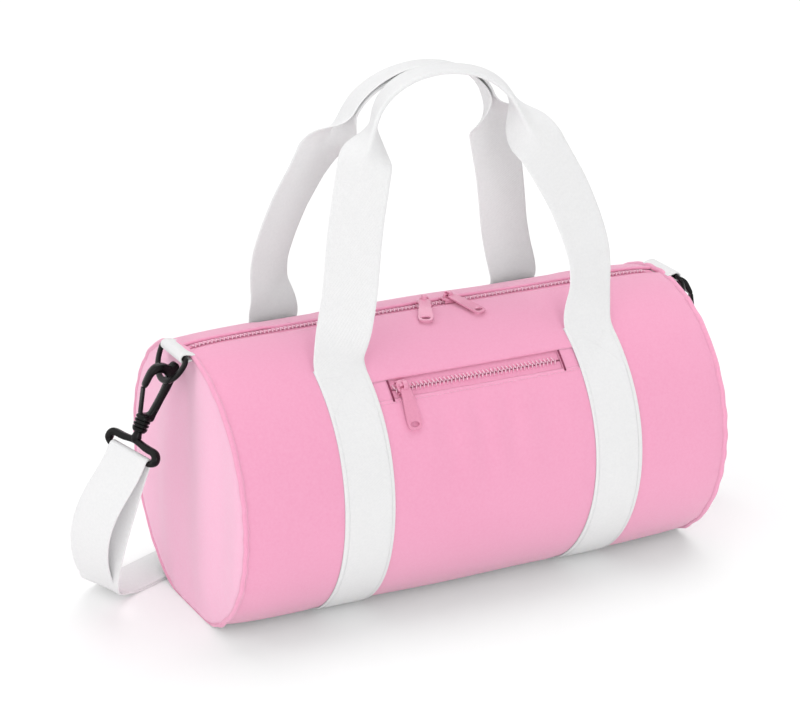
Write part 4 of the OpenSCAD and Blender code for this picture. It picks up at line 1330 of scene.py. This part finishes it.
# %% [markdown]
# ## Stitching
# Each stitch is a short rod with pointed ends, half sunk in the cloth. A row of them is one mesh:
# the rod's points are set once and repeated along a line by broadcasting.

# %% Stitch rows


def stitch_row(name, lines, pitch, thick, material, body, length_share=0.72):
    """Rods along lines on the barrel. Each line is a pair of arrays, place and angle, with a
    height over the cloth; a rod lies along its line and is as thick as the thread."""
    centres, ways, outs = [], [], []
    for x, a, h in lines:
        dense = on_barrel(x, a, h)
        over = on_barrel(x, a, h + 1 * mm)
        both, _ = spaced(np.concatenate([dense, unit(over - dense)], 1), pitch)
        centres.append(both[:, :3])
        ways.append(unit(np.gradient(both[:, :3], axis=0)))
        outs.append(unit(both[:, 3:]))
    centre, way, out = (np.concatenate(v) for v in (centres, ways, outs))
    sideways = np.cross(out, way)
    t = np.array([-1, -0.6, 0.6, 1]) * pitch * length_share / 2
    radius = thick / 2 * np.array([0.25, 0.9, 0.9, 0.25])
    turn = np.linspace(0, 2 * math.pi, 6)[:-1]
    points = (centre[:, None, None] + t[None, :, None, None] * way[:, None, None]
              + (radius[:, None] * np.cos(turn))[None, :, :, None] * sideways[:, None, None]
              + (radius[:, None] * np.sin(turn))[None, :, :, None] * out[:, None, None])
    return finish_piece(rods_piece(name, points, material), body, None)


def line(x0, a0, x1, a1, h, count=60):
    """A straight line between two places on the barrel."""
    return (np.linspace(x0, x1, count), np.linspace(a0, a1, count), h)


def web_top(h=0.0):
    """The height of the webbing's upper face over the cloth."""
    return web_t + band_lift + h


# %% Rows on the bands
edge_top, edge_low, edge_in = 38.5, -218.5, 3 * mm
box_top, box_low, box_half = 57.4, 39.5, 16.5 * mm
sunk = web_top(-0.09 * mm)
for side in (left, right):
    edges, boxes = [], []
    for edge in (left, right):
        x = side * band_x + edge * (web_w / 2 - edge_in)
        edges.append(line(x, edge_top, x, edge_low, web_top(), 500))
    x0, x1 = side * band_x - box_half, side * band_x + box_half
    for top, low in ((box_top, box_low), (-180 - box_top, -180 - box_low)):
        boxes += [line(x0, top, x1, top, web_top(0.1 * mm)), line(x0, low, x1, low, sunk),
                  line(x0, top, x0, low, sunk), line(x1, top, x1, low, sunk),
                  line(x0, top, x1, low, sunk), line(x0, low, x1, top, sunk)]
    stitch_row(side_names[side] + "_band_stitches", edges, 3.2 * mm, 0.45 * mm, white_thread,
               "bag")
    stitch_row(side_names[side] + "_box_stitches", boxes, 2.6 * mm, 0.5 * mm, white_thread, "bag")

# %% Rows on the cloth
hem = 1.6
stitch_row("pocket_hem_stitches",
           [line(-window_half, pocket_low - hem, window_half, pocket_low - hem, 0.12 * mm, 200)],
           2.8 * mm, 0.65 * mm, pink_thread, "bag")
zip_row, row_end = zip_edge_ang - 2.0, bag_half - 6 * mm
stitch_row("main_zip_stitches",
           [line(-row_end, zip_row, row_end, zip_row, 0, 300),
            line(-row_end, -180 - zip_row, row_end, -180 - zip_row, 0.4 * mm, 300)],
           2.8 * mm, 0.5 * mm, pink_thread, "bag")
tacks = []
for side in (left, right):
    for k in range(3):
        x = side * (pocket_half + 0.8 * mm) + (k - 1) * 0.5 * mm
        tacks.append(line(x, pocket_low - 0.9, x, pocket_high - 0.4, -0.2 * mm, 20))
stitch_row("pocket_bartacks", tacks, 1.3 * mm, 0.6 * mm, dark_thread, "bag", 0.9)
print("Stitches on bands, pocket and zip")

# %% [markdown]
# ## The two boxes
# The box of the dressed bag is worked out beside the CAD model's box, and both are printed.

# %% Both boxes
dressed_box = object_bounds()
boxes = {"cad": [list(corner) for corner in cad_box],
         "visual": [list(corner) for corner in dressed_box]}
print("CAD box", boxes["cad"], "dressed box", boxes["visual"])
